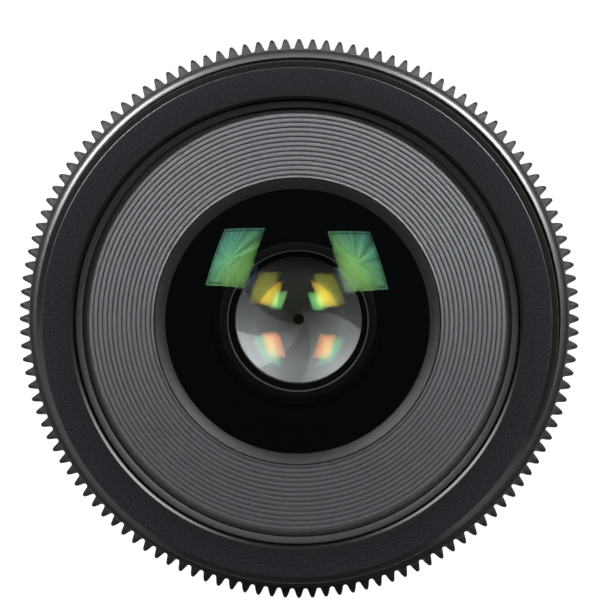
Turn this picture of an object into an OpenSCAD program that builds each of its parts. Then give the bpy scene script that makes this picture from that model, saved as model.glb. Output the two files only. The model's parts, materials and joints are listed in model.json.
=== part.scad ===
// Cinema prime lens with a geared focus ring, a geared iris ring and a four-wing camera mount.
// The optical axis is +Z with the front up. The origin lies on the flange's seating plane.

/* [Mount] */
// Diameter of the register that centres the lens in the camera
register_d = 54; // [52.5:0.25:56]
// Length of the register behind the flange
register_l = 10; // [6:0.5:14]
// Diameter of the rear tube behind the register
tube_d = 51; // [50:0.25:52]
// Length of the rear tube behind the register
tube_l = 12; // [10:0.5:18]
// Bore of the register and the rear tube
tube_bore_d = 47.6; // [46.8:0.1:48.4]
// Diameter over the four wings of the flange
flange_d = 66; // [64:0.5:70]
// Diameter of the flange between its wings
flange_core_d = 59; // [57:0.5:62]
// Thickness of the flange
flange_t = 3; // [2.5:0.1:4]
// Angle that one wing takes up
wing_angle = 50; // [40:1:60]
// Width of the index notch in one wing
notch_w = 3.2; // [2:0.1:4]
// Thickness of the back focus shim
shim_t = 0.3; // [0.1:0.05:0.6]
// Thread diameter of the mount screws
mount_screw_d = 2; // [1.6:0.1:2.2]

/* [Rear barrel] */
// Length of the conical rear housing
rear_cone_l = 10; // [8:0.5:16]
// Diameter of the cone at the mount
rear_cone_d0 = 68; // [66:0.5:74]
// Diameter of the cone at the iris ring
rear_cone_d1 = 83; // [80:0.5:88]
// Thickness of the plate that the mount is screwed to
plate_t = 3.7; // [3.2:0.1:5]
// Outside diameter of the journal that the iris ring turns on
sleeve_d = 74; // [73:0.25:76]
// Wall of that journal
sleeve_wall = 3; // [2.5:0.1:3.4]
// Wall of the spigot that joins the main barrel to the journal
spigot_wall = 2.3; // [2:0.1:2.6]
// Length of that spigot
spigot_l = 4.6; // [4:0.2:6]

/* [Rings] */
// Length of the iris ring
iris_ring_l = 18; // [17:0.5:24]
// Diameter of the iris ring under its gear
iris_seat_d = 86; // [84:0.5:87.5]
// Diameter of the iris scale at its front edge
iris_scale_d = 91; // [89:0.5:94]
// Length of the index ring
index_l = 3.5; // [3.5:0.25:6]
// Diameter of the index ring
index_d = 92.4; // [90:0.4:96]
// Wall of the index ring
index_wall = 2.6; // [2:0.1:3.4]
// Length of the focus ring
focus_ring_l = 39.2; // [38:0.2:48]
// Diameter of the focus scale at its rear edge
focus_scale_d0 = 91; // [89:0.5:94]
// Diameter of the focus scale at its front edge
focus_scale_d1 = 95; // [93:0.5:98]
// Length of the focus scale
focus_scale_l = 15; // [12:0.5:16]
// Diameter of the fluted grip
grip_d = 97.6; // [96:0.4:100]
// Number of flutes round the grip
grip_flutes = 60; // [36:4:72]
// Depth of one flute
flute_depth = 0.6; // [0.3:0.05:0.8]
// Bore of the relief inside the focus ring
relief_d = 85; // [83:0.5:86.5]
// Diameter of the focus ring under its gear
focus_seat_d = 93; // [91:0.5:95]
// Length of the stepped front end of the focus ring under its gear
focus_seat_l = 10.2; // [10:0.2:11]

/* [Gears] */
// Module of both gears
gear_module = 0.8; // [0.8:0.005:0.82]
// Teeth on the focus gear
focus_teeth = 128; // [127:1:134]
// Width of the focus gear's teeth
focus_gear_w = 9; // [7:0.25:9.5]
// Teeth on the iris gear
iris_teeth = 116; // [114:1:122]
// Width of the iris gear's teeth
iris_gear_w = 8; // [6:0.25:9]
// Chamfer at the ends of the teeth
tooth_chamfer = 0.45; // [0.2:0.05:0.6]
// Thinning of each tooth so that the gears run freely
backlash = 0.1; // [0.02:0.01:0.16]
// Width of the sloping front shoulder of the focus gear
shoulder_w = 1.9; // [1:0.1:2.2]
// Slope of that shoulder
shoulder_angle = 16; // [8:1:24]

/* [Front] */
// Diameter of the front ring
front_d = 95; // [93:0.5:100]
// Minor diameter of the filter thread
thread_d = 81.2; // [80.2:0.1:83]
// Length of the filter thread
thread_l = 2.6; // [2.4:0.1:4]
// Bore of the plain lip behind the thread
lip_d = 78.2; // [77.6:0.1:79]
// Length of the plain lip
lip_l = 5.9; // [5.8:0.1:7]
// Thickness of the ledge that the front ring is screwed down by
ledge_t = 2; // [1.8:0.1:3]
// Length of the skirt behind the ledge
skirt_l = 8.7; // [7:0.1:10]
// Chamfer on the outer edge of the front ring
front_chamfer = 1.15; // [0.6:0.05:2]
// Gap between the focus ring and the front ring
front_gap = 0.6; // [0.4:0.1:1]
// Wall of the hollow behind the front ring's face
front_wall = 2.2; // [1.6:0.1:3]
// Height of the baffle at its outer edge
baffle_h = 3.7; // [3.4:0.1:4]
// Fall of the baffle from its outer edge to its bore
baffle_fall = 1.6; // [1:0.1:1.8]
// Thickness of the baffle at its bore
baffle_web = 0.8; // [0.7:0.05:1]
// Distance between the grooves turned in the baffle
groove_pitch = 0.866; // [0.8:0.001:1]
// Distance from the baffle's bore to its first groove
groove_start = 0.68; // [0.5:0.02:1]
// Width of one groove
groove_w = 0.34; // [0.2:0.02:0.4]
// Depth of one groove
groove_depth = 0.45; // [0.2:0.05:0.5]
// Rise of each rib's inner edge and fall of its outer edge
rib_tilt = 0.08; // [0:0.01:0.12]

/* [Focus drive] */
// Bore of the main barrel
barrel_bore_d = 66; // [65.5:0.1:66.5]
// Wall of the main barrel
barrel_wall = 2.5; // [2.3:0.1:2.8]
// Wall of the cam barrel
cam_wall = 2.9; // [2.5:0.1:3.2]
// Turn of the focus ring from its far stop to its near stop
focus_turn = 180; // [120:5:180]
// Travel of the focus group for one whole turn of the cam
cam_lead = 14; // [13:0.25:15]
// Height of the followers above the rear edge of the focus ring
follower_rise = 8; // [7.5:0.25:9]
// Diameter of the follower rollers
roller_d = 3.2; // [2.6:0.1:3.2]
// Diameter of the follower pins
follower_pin_d = 2; // [1.6:0.1:2]
// Diameter of the pin that stops the focus ring
stop_pin_d = 1.6; // [1.2:0.1:2]

/* [Iris] */
// Clear diameter in front of the blades
iris_opening_d = 23.4; // [22.8:0.1:24]
// Hole that the blades leave when the iris is closed
closed_hole_d = 1.96; // [1.6:0.02:3]
// Width of one blade
blade_w = 7; // [6.6:0.1:7.4]
// Thickness of one blade
blade_t = 0.15; // [0.1:0.01:0.17]
// Distance from one blade layer to the next
blade_pitch = 0.2; // [0.2:0.01:0.24]
// Angle that the arc of one blade spans
blade_span = 112; // [105:1:118]
// Distance from a blade's pivot to its drive pin
pin_arm = 7; // [6.8:0.1:7.4]
// Diameter of the pins on the blades
blade_pin_d = 1; // [0.8:0.05:1.2]
// Turn of the iris ring from closed to open
iris_turn = 48; // [40:1:48]
// Thickness of the rotor
rotor_t = 1.4; // [1.2:0.1:1.8]
// Width of the lever that turns the rotor
lever_w = 3; // [2.6:0.1:3.4]
// Thickness of that lever
lever_t = 2; // [1.6:0.1:2.2]

/* [Glass] */
// Diameter of the front element
e1_d = 52; // [51.6:0.1:52.4]
// Front radius of the front element
e1_front = 66; // [63:0.5:70]
// Rear radius of the front element
e1_back = 27; // [26.5:0.1:27.5]
// Thickness of the front element on the axis
e1_t = 2.4; // [2.2:0.1:2.6]
// Width of the flat seat round the front element's hollow
e1_seat_w = 5.5; // [5.2:0.1:5.8]
// Height of the front element above the baffle's seat
e1_rise = 5.5; // [5.4:0.1:5.6]
// Width that the ring in front covers at the front element's rim
funnel_lip = 1.8; // [1.4:0.1:2.2]
// Diameter of the second element
e2_d = 26.8; // [26.6:0.1:27]
// Front radius of the second element
e2_front = 60; // [55:0.5:70]
// Rear radius of the second element
e2_back = 25.5; // [25:0.1:26]
// Thickness of the second element on the axis
e2_t = 7; // [6.8:0.1:7.2]
// Air space between the front and the second element
e2_gap = 5.1; // [4.9:0.1:5.3]
// Diameter of the front element of the focus group
e3_d = 39; // [38.6:0.1:39.2]
// Diameter of the rear element of the focus group
e4_d = 37; // [36.6:0.1:37.4]
// Diameter of the elements of the rear group
rear_glass_d = 31; // [30.4:0.1:31.4]
// Outside diameter of the rear lens tube
rear_cell_d = 37.8; // [37.4:0.1:38.2]

/* [Clearances] */
// Radial clearance of pieces that are fastened together
fit = 0.05; // [0.03:0.01:0.08]
// Radial clearance of pieces that turn or slide on each other
run_clear = 0.04; // [0.02:0.01:0.08]
// Gap between rings that turn past each other
run_gap = 0.4; // [0.3:0.05:0.6]

/* [Hidden] */
$fn = 128;
blade_count = 9;
BLADES = [for (i = [1:blade_count]) str("blade_", i)];

// Finishes
matt_black = "#2b2c2e";
satin_black = "#202124";
deep_black = "#0c0c0d";
alloy = "#b9bcc0";
steel = "#8f9296";
brass = "#b5984e";
glass = "#9fc7c2";

// Heights along the optical axis, from the flange to the front
over = 1;
plate_z = flange_t + shim_t;
cone_top_z = plate_z + rear_cone_l;
iris_z0 = cone_top_z + run_gap;
iris_z1 = iris_z0 + iris_ring_l;
index_z0 = iris_z1 + run_gap;
index_z1 = index_z0 + index_l;
focus_z0 = index_z1 + run_gap;
focus_z1 = focus_z0 + focus_ring_l;
front_z0 = focus_z1 + front_gap;
ledge_z0 = front_z0 + skirt_l;
baffle_z0 = ledge_z0 + ledge_t;
thread_z0 = baffle_z0 + lip_l;
front_z1 = thread_z0 + thread_l;
cell_flange_t = 2;
barrel_z1 = ledge_z0 - cell_flange_t;
tube_z0 = -register_l - tube_l;
roof_z = ledge_z0 - 0.5;
free_gap = 0.3;

// Radii of the nested barrels
sleeve_r0 = sleeve_d / 2 - sleeve_wall;
spigot_r1 = sleeve_r0 - fit;
spigot_r0 = spigot_r1 - spigot_wall;
barrel_r0 = barrel_bore_d / 2;
barrel_r1 = barrel_r0 + barrel_wall;
cam_r0 = barrel_r1 + run_clear;
cam_r1 = cam_r0 + cam_wall;
index_r0 = index_d / 2 - index_wall;
ledge_r0 = barrel_r0 + 0.4;
root_step = 0.25;

// Focus drive
follower_z = focus_z0 + follower_rise;
focus_travel = cam_lead * focus_turn / 360;
roller_r = roller_d / 2;
slot_half = roller_r + run_clear;
follower_angles = [100, 220, 340];
stop_angle = 20;
stop_r = (cam_r1 + relief_d / 2) / 2;
stop_groove_w = stop_pin_d + 0.6;
stop_groove_h = 2.4;
ring_web = 4.5;
cam_end = 0.6;

// Focus carrier
carrier_r = barrel_r0 - run_clear;
web_half = 2;
rim_half = 7;
rim_wall = 2.2;
cam_pin_grip = 5;
cam_pin_r1 = cam_r1 - 0.3;
hub_back_l = 14;
hub_front_l = 8;
hub_wall = 4;
hub_ledge_w = 1;
hub_ledge_l = 6;
hub_z0 = follower_z - hub_back_l;
hub_z1 = follower_z + hub_front_l;
hub_r1 = e3_d / 2 + hub_wall;
hub_ledge_r = min(e3_d, e4_d) / 2 - hub_ledge_w;
e3_seat_z = follower_z;
e4_seat_z = follower_z - hub_ledge_l;
retainer_l = 1.6;

// Lenses of the focus group, with each vertex found from the ledge in the carrier
e3_front = 40;
e3_back = 80;
e3_t = 8.4;
e3_back_z = e3_seat_z - sag(e3_back, hub_ledge_r) + fit;
e3_z = e3_back_z + e3_t;
e4_front = 50;
e4_back = 35;
e4_t = 3.8;
e4_z = e4_seat_z - sag(e4_front, hub_ledge_r) - fit;
e4_back_z = e4_z - e4_t;

// Front lenses and the cell that carries them
e1_z = baffle_z0 + e1_rise;
e1_back_z = e1_z - e1_t;
e1_clear_r = e1_d / 2 - e1_seat_w;
e1_seat_z = e1_back_z - sag(e1_back, e1_clear_r);
e1_edge_z = e1_z - sag(e1_front, e1_d / 2);
e2_z = e1_back_z - e2_gap;
e2_back_z = e2_z - e2_t;
cell_floor = 3.2;
cell_z0 = min(e1_seat_z - cell_floor, e2_back_z - free_gap);
cell_r = barrel_r0 - fit;
funnel_r = e1_d / 2 - funnel_lip;
funnel_skirt = 2.4;
funnel_thread_w = 1.65;
funnel_edge = 0.4;
cell_thread_r = e1_d / 2 + funnel_thread_w;
hub_top_r = e2_d / 2 + 2;
ring2_r1 = e2_d / 2 + 1.2;
ring2_r0 = e2_d / 2 - 0.6;
ring2_z0 = e2_z - sag(e2_front, ring2_r0) + fit;
ring2_h = 0.75;

// Baffle
baffle_r1 = lip_d / 2 - fit;
baffle_r0 = e1_d / 2 + 0.2;
baffle_foot_r = ledge_r0 + 0.6;
baffle_under_z = baffle_top(baffle_r0) - baffle_web;
groove_r = baffle_r0 + groove_start;
groove_count = floor((baffle_r1 - groove_w - groove_r) / groove_pitch) + 1;

// Iris
opening_r = iris_opening_d / 2;
blade_margin = 0.5;
pivot_margin = 1.5;
blade_r0 = opening_r + blade_margin;
pivot_r = blade_r0 + blade_w + pivot_margin;
close_angle = 2 * asin((blade_r0 - closed_hole_d / 2) / (2 * pivot_r));
blade_step = 360 / blade_count;
pin_lean = 92;
pin_open = [pivot_r + pin_arm * cos(pin_lean), pin_arm * sin(pin_lean)];
pin_r = blade_pin_d / 2;
iris_clear = 0.1;
pin_slot_r = pin_r + iris_clear;
pin_short = 0.2;
iris_plate_t = 1;
blade_z1 = cell_z0 - iris_plate_t - iris_clear;
blades_z0 = blade_z1 - blade_pitch * (blade_count - 1) - blade_t;
rotor_z1 = blades_z0 - iris_clear;
rotor_z0 = rotor_z1 - rotor_t;
rotor_rim = 2.8;
rotor_step = 0.2;
rotor_r = norm(pin_open) + rotor_rim;
iris_wall = 1.45;
iris_wall_r0 = rotor_r + iris_clear;
iris_wall_r1 = iris_wall_r0 + iris_wall;
iris_ring_t = 0.7;
iris_ring_w = 5;
iris_ring_z1 = rotor_z0 - iris_clear;
iris_ring_z0 = iris_ring_z1 - iris_ring_t;
ear_w = 4.2;
ear_screw_w = 2.4;
ear_r = iris_wall_r1 + ear_w;
ear_screw_r = iris_wall_r1 + ear_screw_w;
ear_angles = [40, 280, 320];
ear_half = 5;
tab_half = 4.5;

// Outline of a blade, with the lobes for its two pins
pivot_boss = 1.2;
pin_boss = 1.1;
root_angle = -4;
neck_angle = 8;
lobe_angle = atan2(pin_open[1], pin_open[0]);
lobe_neck = 6;
arc_steps = 28;
tip_steps = 10;
boss_steps = 8;

// Lever between the iris ring and the rotor
lever_angle = 136;
lever_gap = 1.4;
lever_rise = 8.2;
lever_grip = 3;
lever_thread_l = 4.4;
lever_r0 = iris_wall_r1 + lever_gap;
lever_r1 = lever_r0 + lever_t;
lever_z = iris_z0 + lever_rise;
lever_h = 3.2;
lever_reach = sleeve_d / 2 + lever_grip;
lever_side = asin((lever_w / 2 + 0.6) / lever_r0);
lever_screw_z = lever_z + lever_h / 2;
iris_gear_z = iris_z0 + 1;

// Rear group
rear_r = rear_glass_d / 2;
rear_cell_r = rear_cell_d / 2;
rear_ledge_w = 1.3;
rear_ledge_r = rear_r - rear_ledge_w;
rear_flange_w = 6;
rear_flange_r = rear_cell_r + rear_flange_w;
rear_flange_t = 2;
rear_flange_z = plate_z + plate_t;
rear_gap = 1;
rear_setback = 9;
rear_cell_z1 = hub_z0 - rear_gap;
rear_cell_z0 = tube_z0 + rear_setback;
rear_seat_l = 9;
rear_ledge_l = 2;
e6_seat_z = rear_flange_z + rear_seat_l;
e5_seat_z = e6_seat_z + rear_ledge_l;
ledge_hole_r = rear_cell_r + free_gap;
mount_screw_r = (ledge_hole_r + tube_bore_d / 2) / 2;

// Lenses of the rear group, with each vertex found from the ring that carries the lens
e5_front = 30;
e5_back = 60;
e5_t = 9.2;
e5_back_z = e5_seat_z - sag(e5_back, rear_ledge_r) + fit;
e5_z = e5_back_z + e5_t;
e6_front = 35;
e6_back = 80;
e6_t = 4.5;
e6_z = e6_seat_z - sag(e6_front, rear_ledge_r) - fit;
e6_back_z = e6_z - e6_t;
spacer_l = 12;
spacer_z1 = e6_back_z + sag(e6_back, rear_ledge_r) - fit;
spacer_z0 = spacer_z1 - spacer_l;
e7_front = 50;
e7_back = 80;
e7_t = 6;
e7_z = spacer_z0 + sag(e7_front, rear_ledge_r) - fit;
e7_back_z = e7_z - e7_t;
e7_rim_z = e7_back_z - sag(e7_back, rear_ledge_r);

// Screw sizes
small_screw_r = 0.7;
small_head_r = 1.15;
small_head_h = 1.2;
mid_screw_r = 0.8;
mid_head_r = 1.4;
mid_head_h = 1.2;
grub_r = 1.25;
grub_sink = 0.3;
front_screw_grip = 4;
mount_head_r = 0.8 * mount_screw_d;
mount_head_h = 0.7 * mount_screw_d;
lever_head_r = iris_seat_d / 2 - mid_head_h - 0.2;

// Places of the screws
screw_angles = [0:60:300];
front_screw_r = (barrel_r0 + barrel_r1) / 2 + 0.1;
front_head_z = baffle_z0 - small_head_h - 0.1;
barrel_screw_angles = [60, 180, 300];
barrel_screw_z = index_z0 - spigot_l / 2;
index_screw_angles = [45, 165, 285];
index_screw_z = (index_z0 + index_z1) / 2;
index_screw_grip = 2;
ring_screw_angles = [70, 190, 310];
ring_screw_z = focus_z1 - cam_end - ring_web / 2;
ring_screw_grip = 1.4;
rear_cell_screw_angles = [30, 150, 270];
rear_cell_screw_r = (rear_cell_r + rear_flange_r) / 2;

// Depth of a spherical surface of radius curve at the distance r from its axis
function sag(curve, r) = curve - sqrt(curve * curve - r * r);
function polar(r, a) = [r * cos(a), r * sin(a)];
function arc_points(centre, r, a0, a1, steps) =
    [for (i = [0:steps]) centre + polar(r, a0 + (a1 - a0) * i / steps)];
// Height of the baffle's face
function baffle_top(r) =
    baffle_z0 + baffle_h - baffle_fall * (baffle_r1 - r) / (baffle_r1 - baffle_r0);
function turn(p, a) = [p[0] * cos(a) - p[1] * sin(a), p[0] * sin(a) + p[1] * cos(a)];

// Involute teeth, with the half thickness of a tooth as an angle at the radius r
pressure_angle = 20;
function involute(a) = tan(a) * 180 / PI - a;
function tooth_half(r, base_r, teeth) =
    (90 - backlash * 90 / PI / gear_module) / teeth
    + involute(pressure_angle) - involute(acos(base_r / r));
function tooth_side(radii, base_r, teeth, middle, side) =
    [for (r = radii) polar(r, middle + side * tooth_half(r, base_r, teeth))];
function reversed(list) = [for (i = [len(list) - 1:-1:0]) list[i]];
function gear_pitch_r(teeth) = gear_module * teeth / 2;
function gear_tip_r(teeth) = gear_pitch_r(teeth) + gear_module;
function gear_root_r(teeth) = gear_pitch_r(teeth) - 1.25 * gear_module;
function gear_outline(teeth) =
    let (
        base_r = gear_pitch_r(teeth) * cos(pressure_angle),
        radii = [gear_root_r(teeth), gear_pitch_r(teeth), gear_tip_r(teeth)]
    )
    [for (i = [0:teeth - 1])
        let (middle = 360 * i / teeth)
        each concat(
            tooth_side(radii, base_r, teeth, middle, -1),
            reversed(tooth_side(radii, base_r, teeth, middle, 1))
        )
    ];

// Path of a blade's drive pin as the rotor sees it, with t from 0 when closed to 1 when open
function pin_place(t) = [pivot_r, 0] + turn(pin_open - [pivot_r, 0], close_angle * (1 - t));
function rotor_path(t) = turn(pin_place(t), -iris_turn * t);
function path_normal(t) =
    let (d = rotor_path(t + 0.01) - rotor_path(t - 0.01))
    [-d[1], d[0]] / norm(d);
path_steps = 14;
function slot_side(side) =
    [for (i = [0:path_steps])
        rotor_path(i / path_steps) + side * pin_slot_r * path_normal(i / path_steps)];

// Helical band that a cam follower sweeps, as rings of four corners along the cam
band_steps = 12;
function band_ring(i, r0, r1, half) =
    let (
        a = -focus_turn * i / band_steps,
        z = focus_travel * i / band_steps
    )
    [for (c = [[r0, half], [r1, half], [r1, -half], [r0, -half]])
        [c[0] * cos(a), c[0] * sin(a), z + c[1]]];
function band_side(i, k) =
    let (
        a = 4 * i + k,
        b = 4 * i + (k + 1) % 4
    )
    [[a, b, b + 4], [a, b + 4, a + 4]];

module tube(r1, r0, z0, z1) {
    difference() {
        translate([0, 0, z0]) cylinder(r = r1, h = z1 - z0);
        translate([0, 0, z0 - over]) cylinder(r = r0, h = z1 - z0 + 2 * over);
    }
}

module revolve(points) {
    rotate_extrude() polygon(points);
}

module arc_ring(r0, r1, z0, z1, a0, a1) {
    rotate([0, 0, a0])
        rotate_extrude(angle = a1 - a0)
            translate([r0, z0]) square([r1 - r0, z1 - z0]);
}

module around(angles) {
    for (a = angles) rotate([0, 0, a]) children();
}

// Cylinder along a radius, from r0 to r1
module radial_rod(r, r0, r1, z) {
    translate([0, 0, z]) rotate([0, 90, 0]) translate([0, 0, r0]) cylinder(r = r, h = r1 - r0);
}

module axial_rod(r, place_r, z0, z1) {
    translate([place_r, 0, z0]) cylinder(r = r, h = z1 - z0);
}

// Screw that stands on the plane z = 0 with its head above it
module socket_screw(r, l, head_r, head_h) {
    difference() {
        union() {
            translate([0, 0, -l]) cylinder(r = r, h = l);
            cylinder(r = head_r, h = head_h);
        }
        translate([0, 0, head_h / 3]) cylinder(r = head_r / 2, h = head_h, $fn = 6);
    }
}

// Headless radial screw with its socket at the outer end
module grub_screw(r, r0, r1, z) {
    difference() {
        radial_rod(r, r0, r1, z);
        translate([0, 0, z]) rotate([0, 90, 0])
            translate([0, 0, r1 - r]) cylinder(r = r / 2, h = r + over, $fn = 6);
    }
}

module biconvex(r, front_z, front_curve, back_z, back_curve) {
    intersection() {
        translate([0, 0, back_z]) cylinder(r = r, h = front_z - back_z);
        translate([0, 0, front_z - front_curve]) sphere(r = front_curve, $fn = 200);
        translate([0, 0, back_z + back_curve]) sphere(r = back_curve, $fn = 200);
    }
}

// Lens with a convex front and a hollow back whose flat rim lies at rim_z
module hollow_back(r, front_z, front_curve, back_z, back_curve, rim_z) {
    difference() {
        intersection() {
            translate([0, 0, rim_z]) cylinder(r = r, h = front_z - rim_z);
            translate([0, 0, front_z - front_curve]) sphere(r = front_curve, $fn = 200);
        }
        translate([0, 0, back_z - back_curve]) sphere(r = back_curve, $fn = 200);
    }
}

// Lens with a hollow front whose flat rim lies at rim_z and a convex back
module hollow_front(r, front_z, front_curve, back_z, back_curve, rim_z) {
    difference() {
        intersection() {
            translate([0, 0, back_z]) cylinder(r = r, h = rim_z - back_z);
            translate([0, 0, back_z + back_curve]) sphere(r = back_curve, $fn = 200);
        }
        translate([0, 0, front_z + front_curve]) sphere(r = front_curve, $fn = 200);
    }
}

// Toothed band from z0 to z1 with chamfered tooth ends
module gear_teeth(teeth, z0, z1) {
    tip_r = gear_tip_r(teeth);
    intersection() {
        translate([0, 0, z0]) linear_extrude(z1 - z0) polygon(gear_outline(teeth));
        revolve([
            [0, z0], [tip_r - tooth_chamfer, z0], [tip_r + 0.01, z0 + tooth_chamfer],
            [tip_r + 0.01, z1 - tooth_chamfer], [tip_r - tooth_chamfer, z1], [0, z1]
        ]);
    }
}

// Fixed body

module front_ring() {
    edge = 0.3;
    thread_edge = 0.15;
    color(matt_black)
    difference() {
        revolve([
            [ledge_r0, ledge_z0], [barrel_r1 + fit, ledge_z0], [barrel_r1 + fit, front_z0],
            [barrel_r1 + front_wall, front_z0], [barrel_r1 + front_wall, roof_z],
            [front_d / 2 - front_wall, roof_z], [front_d / 2 - front_wall, front_z0],
            [front_d / 2 - edge, front_z0], [front_d / 2, front_z0 + edge],
            [front_d / 2, front_z1 - front_chamfer], [front_d / 2 - front_chamfer, front_z1],
            [thread_d / 2 + thread_edge, front_z1], [thread_d / 2, front_z1 - thread_edge],
            [thread_d / 2, thread_z0], [lip_d / 2, thread_z0], [lip_d / 2, baffle_z0],
            [ledge_r0, baffle_z0]
        ]);
        around(screw_angles) {
            axial_rod(small_screw_r + fit, front_screw_r, barrel_z1, baffle_z0 + over);
            axial_rod(small_head_r + fit, front_screw_r, front_head_z, baffle_z0 + over);
        }
    }
}

module front_screws() {
    shank = front_head_z - barrel_z1 + front_screw_grip;
    color(steel)
    around(screw_angles)
        translate([front_screw_r, 0, front_head_z])
            socket_screw(small_screw_r, shank, small_head_r, small_head_h);
}

module front_baffle() {
    grooves = [for (i = [0:groove_count - 1])
        let (r = groove_r + groove_pitch * i)
        each [
            [r - groove_w / 2, baffle_top(r) - rib_tilt],
            [r, baffle_top(r) - groove_depth],
            [r + groove_w / 2, baffle_top(r) + rib_tilt]
        ]
    ];
    color(satin_black)
    revolve(concat(
        [
            [baffle_r1, baffle_z0], [baffle_foot_r, baffle_z0], [baffle_foot_r, baffle_under_z],
            [baffle_r0, baffle_under_z], [baffle_r0, baffle_top(baffle_r0)]
        ],
        grooves,
        [[baffle_r1, baffle_top(baffle_r1) - rib_tilt]]
    ));
}

module front_retainer() {
    rim = e1_d / 2 - 0.1;
    rim_z = e1_z - sag(e1_front, rim) + fit;
    inner_z = e1_z - sag(e1_front, funnel_r) + fit;
    skirt_r0 = e1_d / 2 + fit;
    skirt_r1 = cell_thread_r - fit;
    nose_r = baffle_r0 - fit;
    color(deep_black)
    revolve([
        [funnel_r, inner_z], [rim, rim_z], [skirt_r0, rim_z],
        [skirt_r0, e1_edge_z - funnel_skirt], [skirt_r1, e1_edge_z - funnel_skirt],
        [skirt_r1, baffle_under_z - free_gap], [nose_r, baffle_under_z - free_gap],
        [nose_r, baffle_top(baffle_r0) - fit], [funnel_r, inner_z + funnel_edge]
    ]);
}

module front_element() {
    color(glass, 0.5)
    hollow_back(e1_d / 2, e1_z, e1_front, e1_back_z, e1_back, e1_seat_z);
}

module second_element() {
    color(glass, 0.5)
    biconvex(e2_d / 2, e2_z, e2_front, e2_back_z, e2_back);
}

module second_retainer() {
    color(satin_black)
    tube(ring2_r1 - fit, ring2_r0, ring2_z0, ring2_z0 + ring2_h);
}

module front_cell() {
    bore = e1_d / 2 + fit;
    rim_r = ledge_r0 - 0.2;
    rim_z = baffle_z0 - free_gap;
    step_z = e1_edge_z - funnel_skirt - 0.1;
    cone_r = e1_clear_r - 0.5;
    hub_z = ring2_z0 + ring2_h / 2;
    seat_r = e2_d / 2 + fit;
    seat_z = e2_back_z + sag(e2_back, seat_r) - 0.1;
    throat_z = e2_back_z + sag(e2_back, opening_r) - fit;
    ear_hole_l = cell_floor - 0.5;
    color(deep_black)
    difference() {
        revolve([
            [opening_r, cell_z0], [cell_r, cell_z0], [cell_r, barrel_z1],
            [barrel_r1 - fit, barrel_z1], [barrel_r1 - fit, ledge_z0], [rim_r, ledge_z0],
            [rim_r, rim_z], [cell_thread_r, rim_z], [cell_thread_r, step_z], [bore, step_z],
            [bore, e1_seat_z], [cone_r, e1_seat_z], [hub_top_r, hub_z],
            [ring2_r1, hub_z], [ring2_r1, ring2_z0 - 0.1], [seat_r, ring2_z0 - 0.1],
            [seat_r, seat_z], [opening_r, throat_z]
        ]);
        around(screw_angles)
            axial_rod(small_screw_r + fit, front_screw_r, barrel_z1 - over, ledge_z0 + over);
        around(ear_angles)
            axial_rod(mid_screw_r + fit, ear_screw_r, cell_z0 - over, cell_z0 + ear_hole_l);
    }
}

module main_barrel() {
    slot_z0 = follower_z;
    slot_z1 = follower_z + focus_travel;
    screw_end = 0.2;
    step = 1;
    color(alloy)
    difference() {
        revolve([
            [spigot_r0, index_z0 - spigot_l], [spigot_r1, index_z0 - spigot_l],
            [spigot_r1, index_z0], [index_r0 - fit, index_z0], [index_r0 - fit, index_z1],
            [barrel_r1, index_z1], [barrel_r1, barrel_z1], [barrel_r0, barrel_z1],
            [barrel_r0, index_z1 - step], [spigot_r0, index_z1 - step]
        ]);
        around(follower_angles) {
            radial_rod(slot_half, barrel_r0 - over, barrel_r1 + over, slot_z0);
            radial_rod(slot_half, barrel_r0 - over, barrel_r1 + over, slot_z1);
            translate([barrel_r0 - over, -slot_half, slot_z0])
                cube([barrel_wall + 2 * over, 2 * slot_half, slot_z1 - slot_z0]);
        }
        around(screw_angles)
            axial_rod(
                small_screw_r + fit, front_screw_r,
                barrel_z1 - front_screw_grip - screw_end, barrel_z1 + over
            );
        around(barrel_screw_angles)
            radial_rod(grub_r + fit, spigot_r0 - over, spigot_r1 + over, barrel_screw_z);
        rotate([0, 0, stop_angle])
            axial_rod(stop_pin_d / 2 + fit, stop_r, index_z0 - over, index_z1 + over);
        around(index_screw_angles)
            radial_rod(
                grub_r + fit, index_r0 - index_screw_grip - screw_end, index_r0 + over, index_screw_z
            );
    }
}

module barrel_screws() {
    color(steel)
    around(barrel_screw_angles)
        grub_screw(grub_r, spigot_r0 + grub_sink, sleeve_d / 2 - grub_sink, barrel_screw_z);
}

module index_ring() {
    edge = 0.4;
    color(matt_black)
    difference() {
        revolve([
            [index_r0, index_z0], [index_d / 2 - edge, index_z0], [index_d / 2, index_z0 + edge],
            [index_d / 2, index_z1 - edge], [index_d / 2 - edge, index_z1], [index_r0, index_z1]
        ]);
        around(index_screw_angles)
            radial_rod(grub_r + fit, index_r0 - over, index_d / 2 + over, index_screw_z);
    }
}

module index_screws() {
    color(steel)
    around(index_screw_angles)
        grub_screw(grub_r, index_r0 - index_screw_grip, index_d / 2 - grub_sink, index_screw_z);
}

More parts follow.
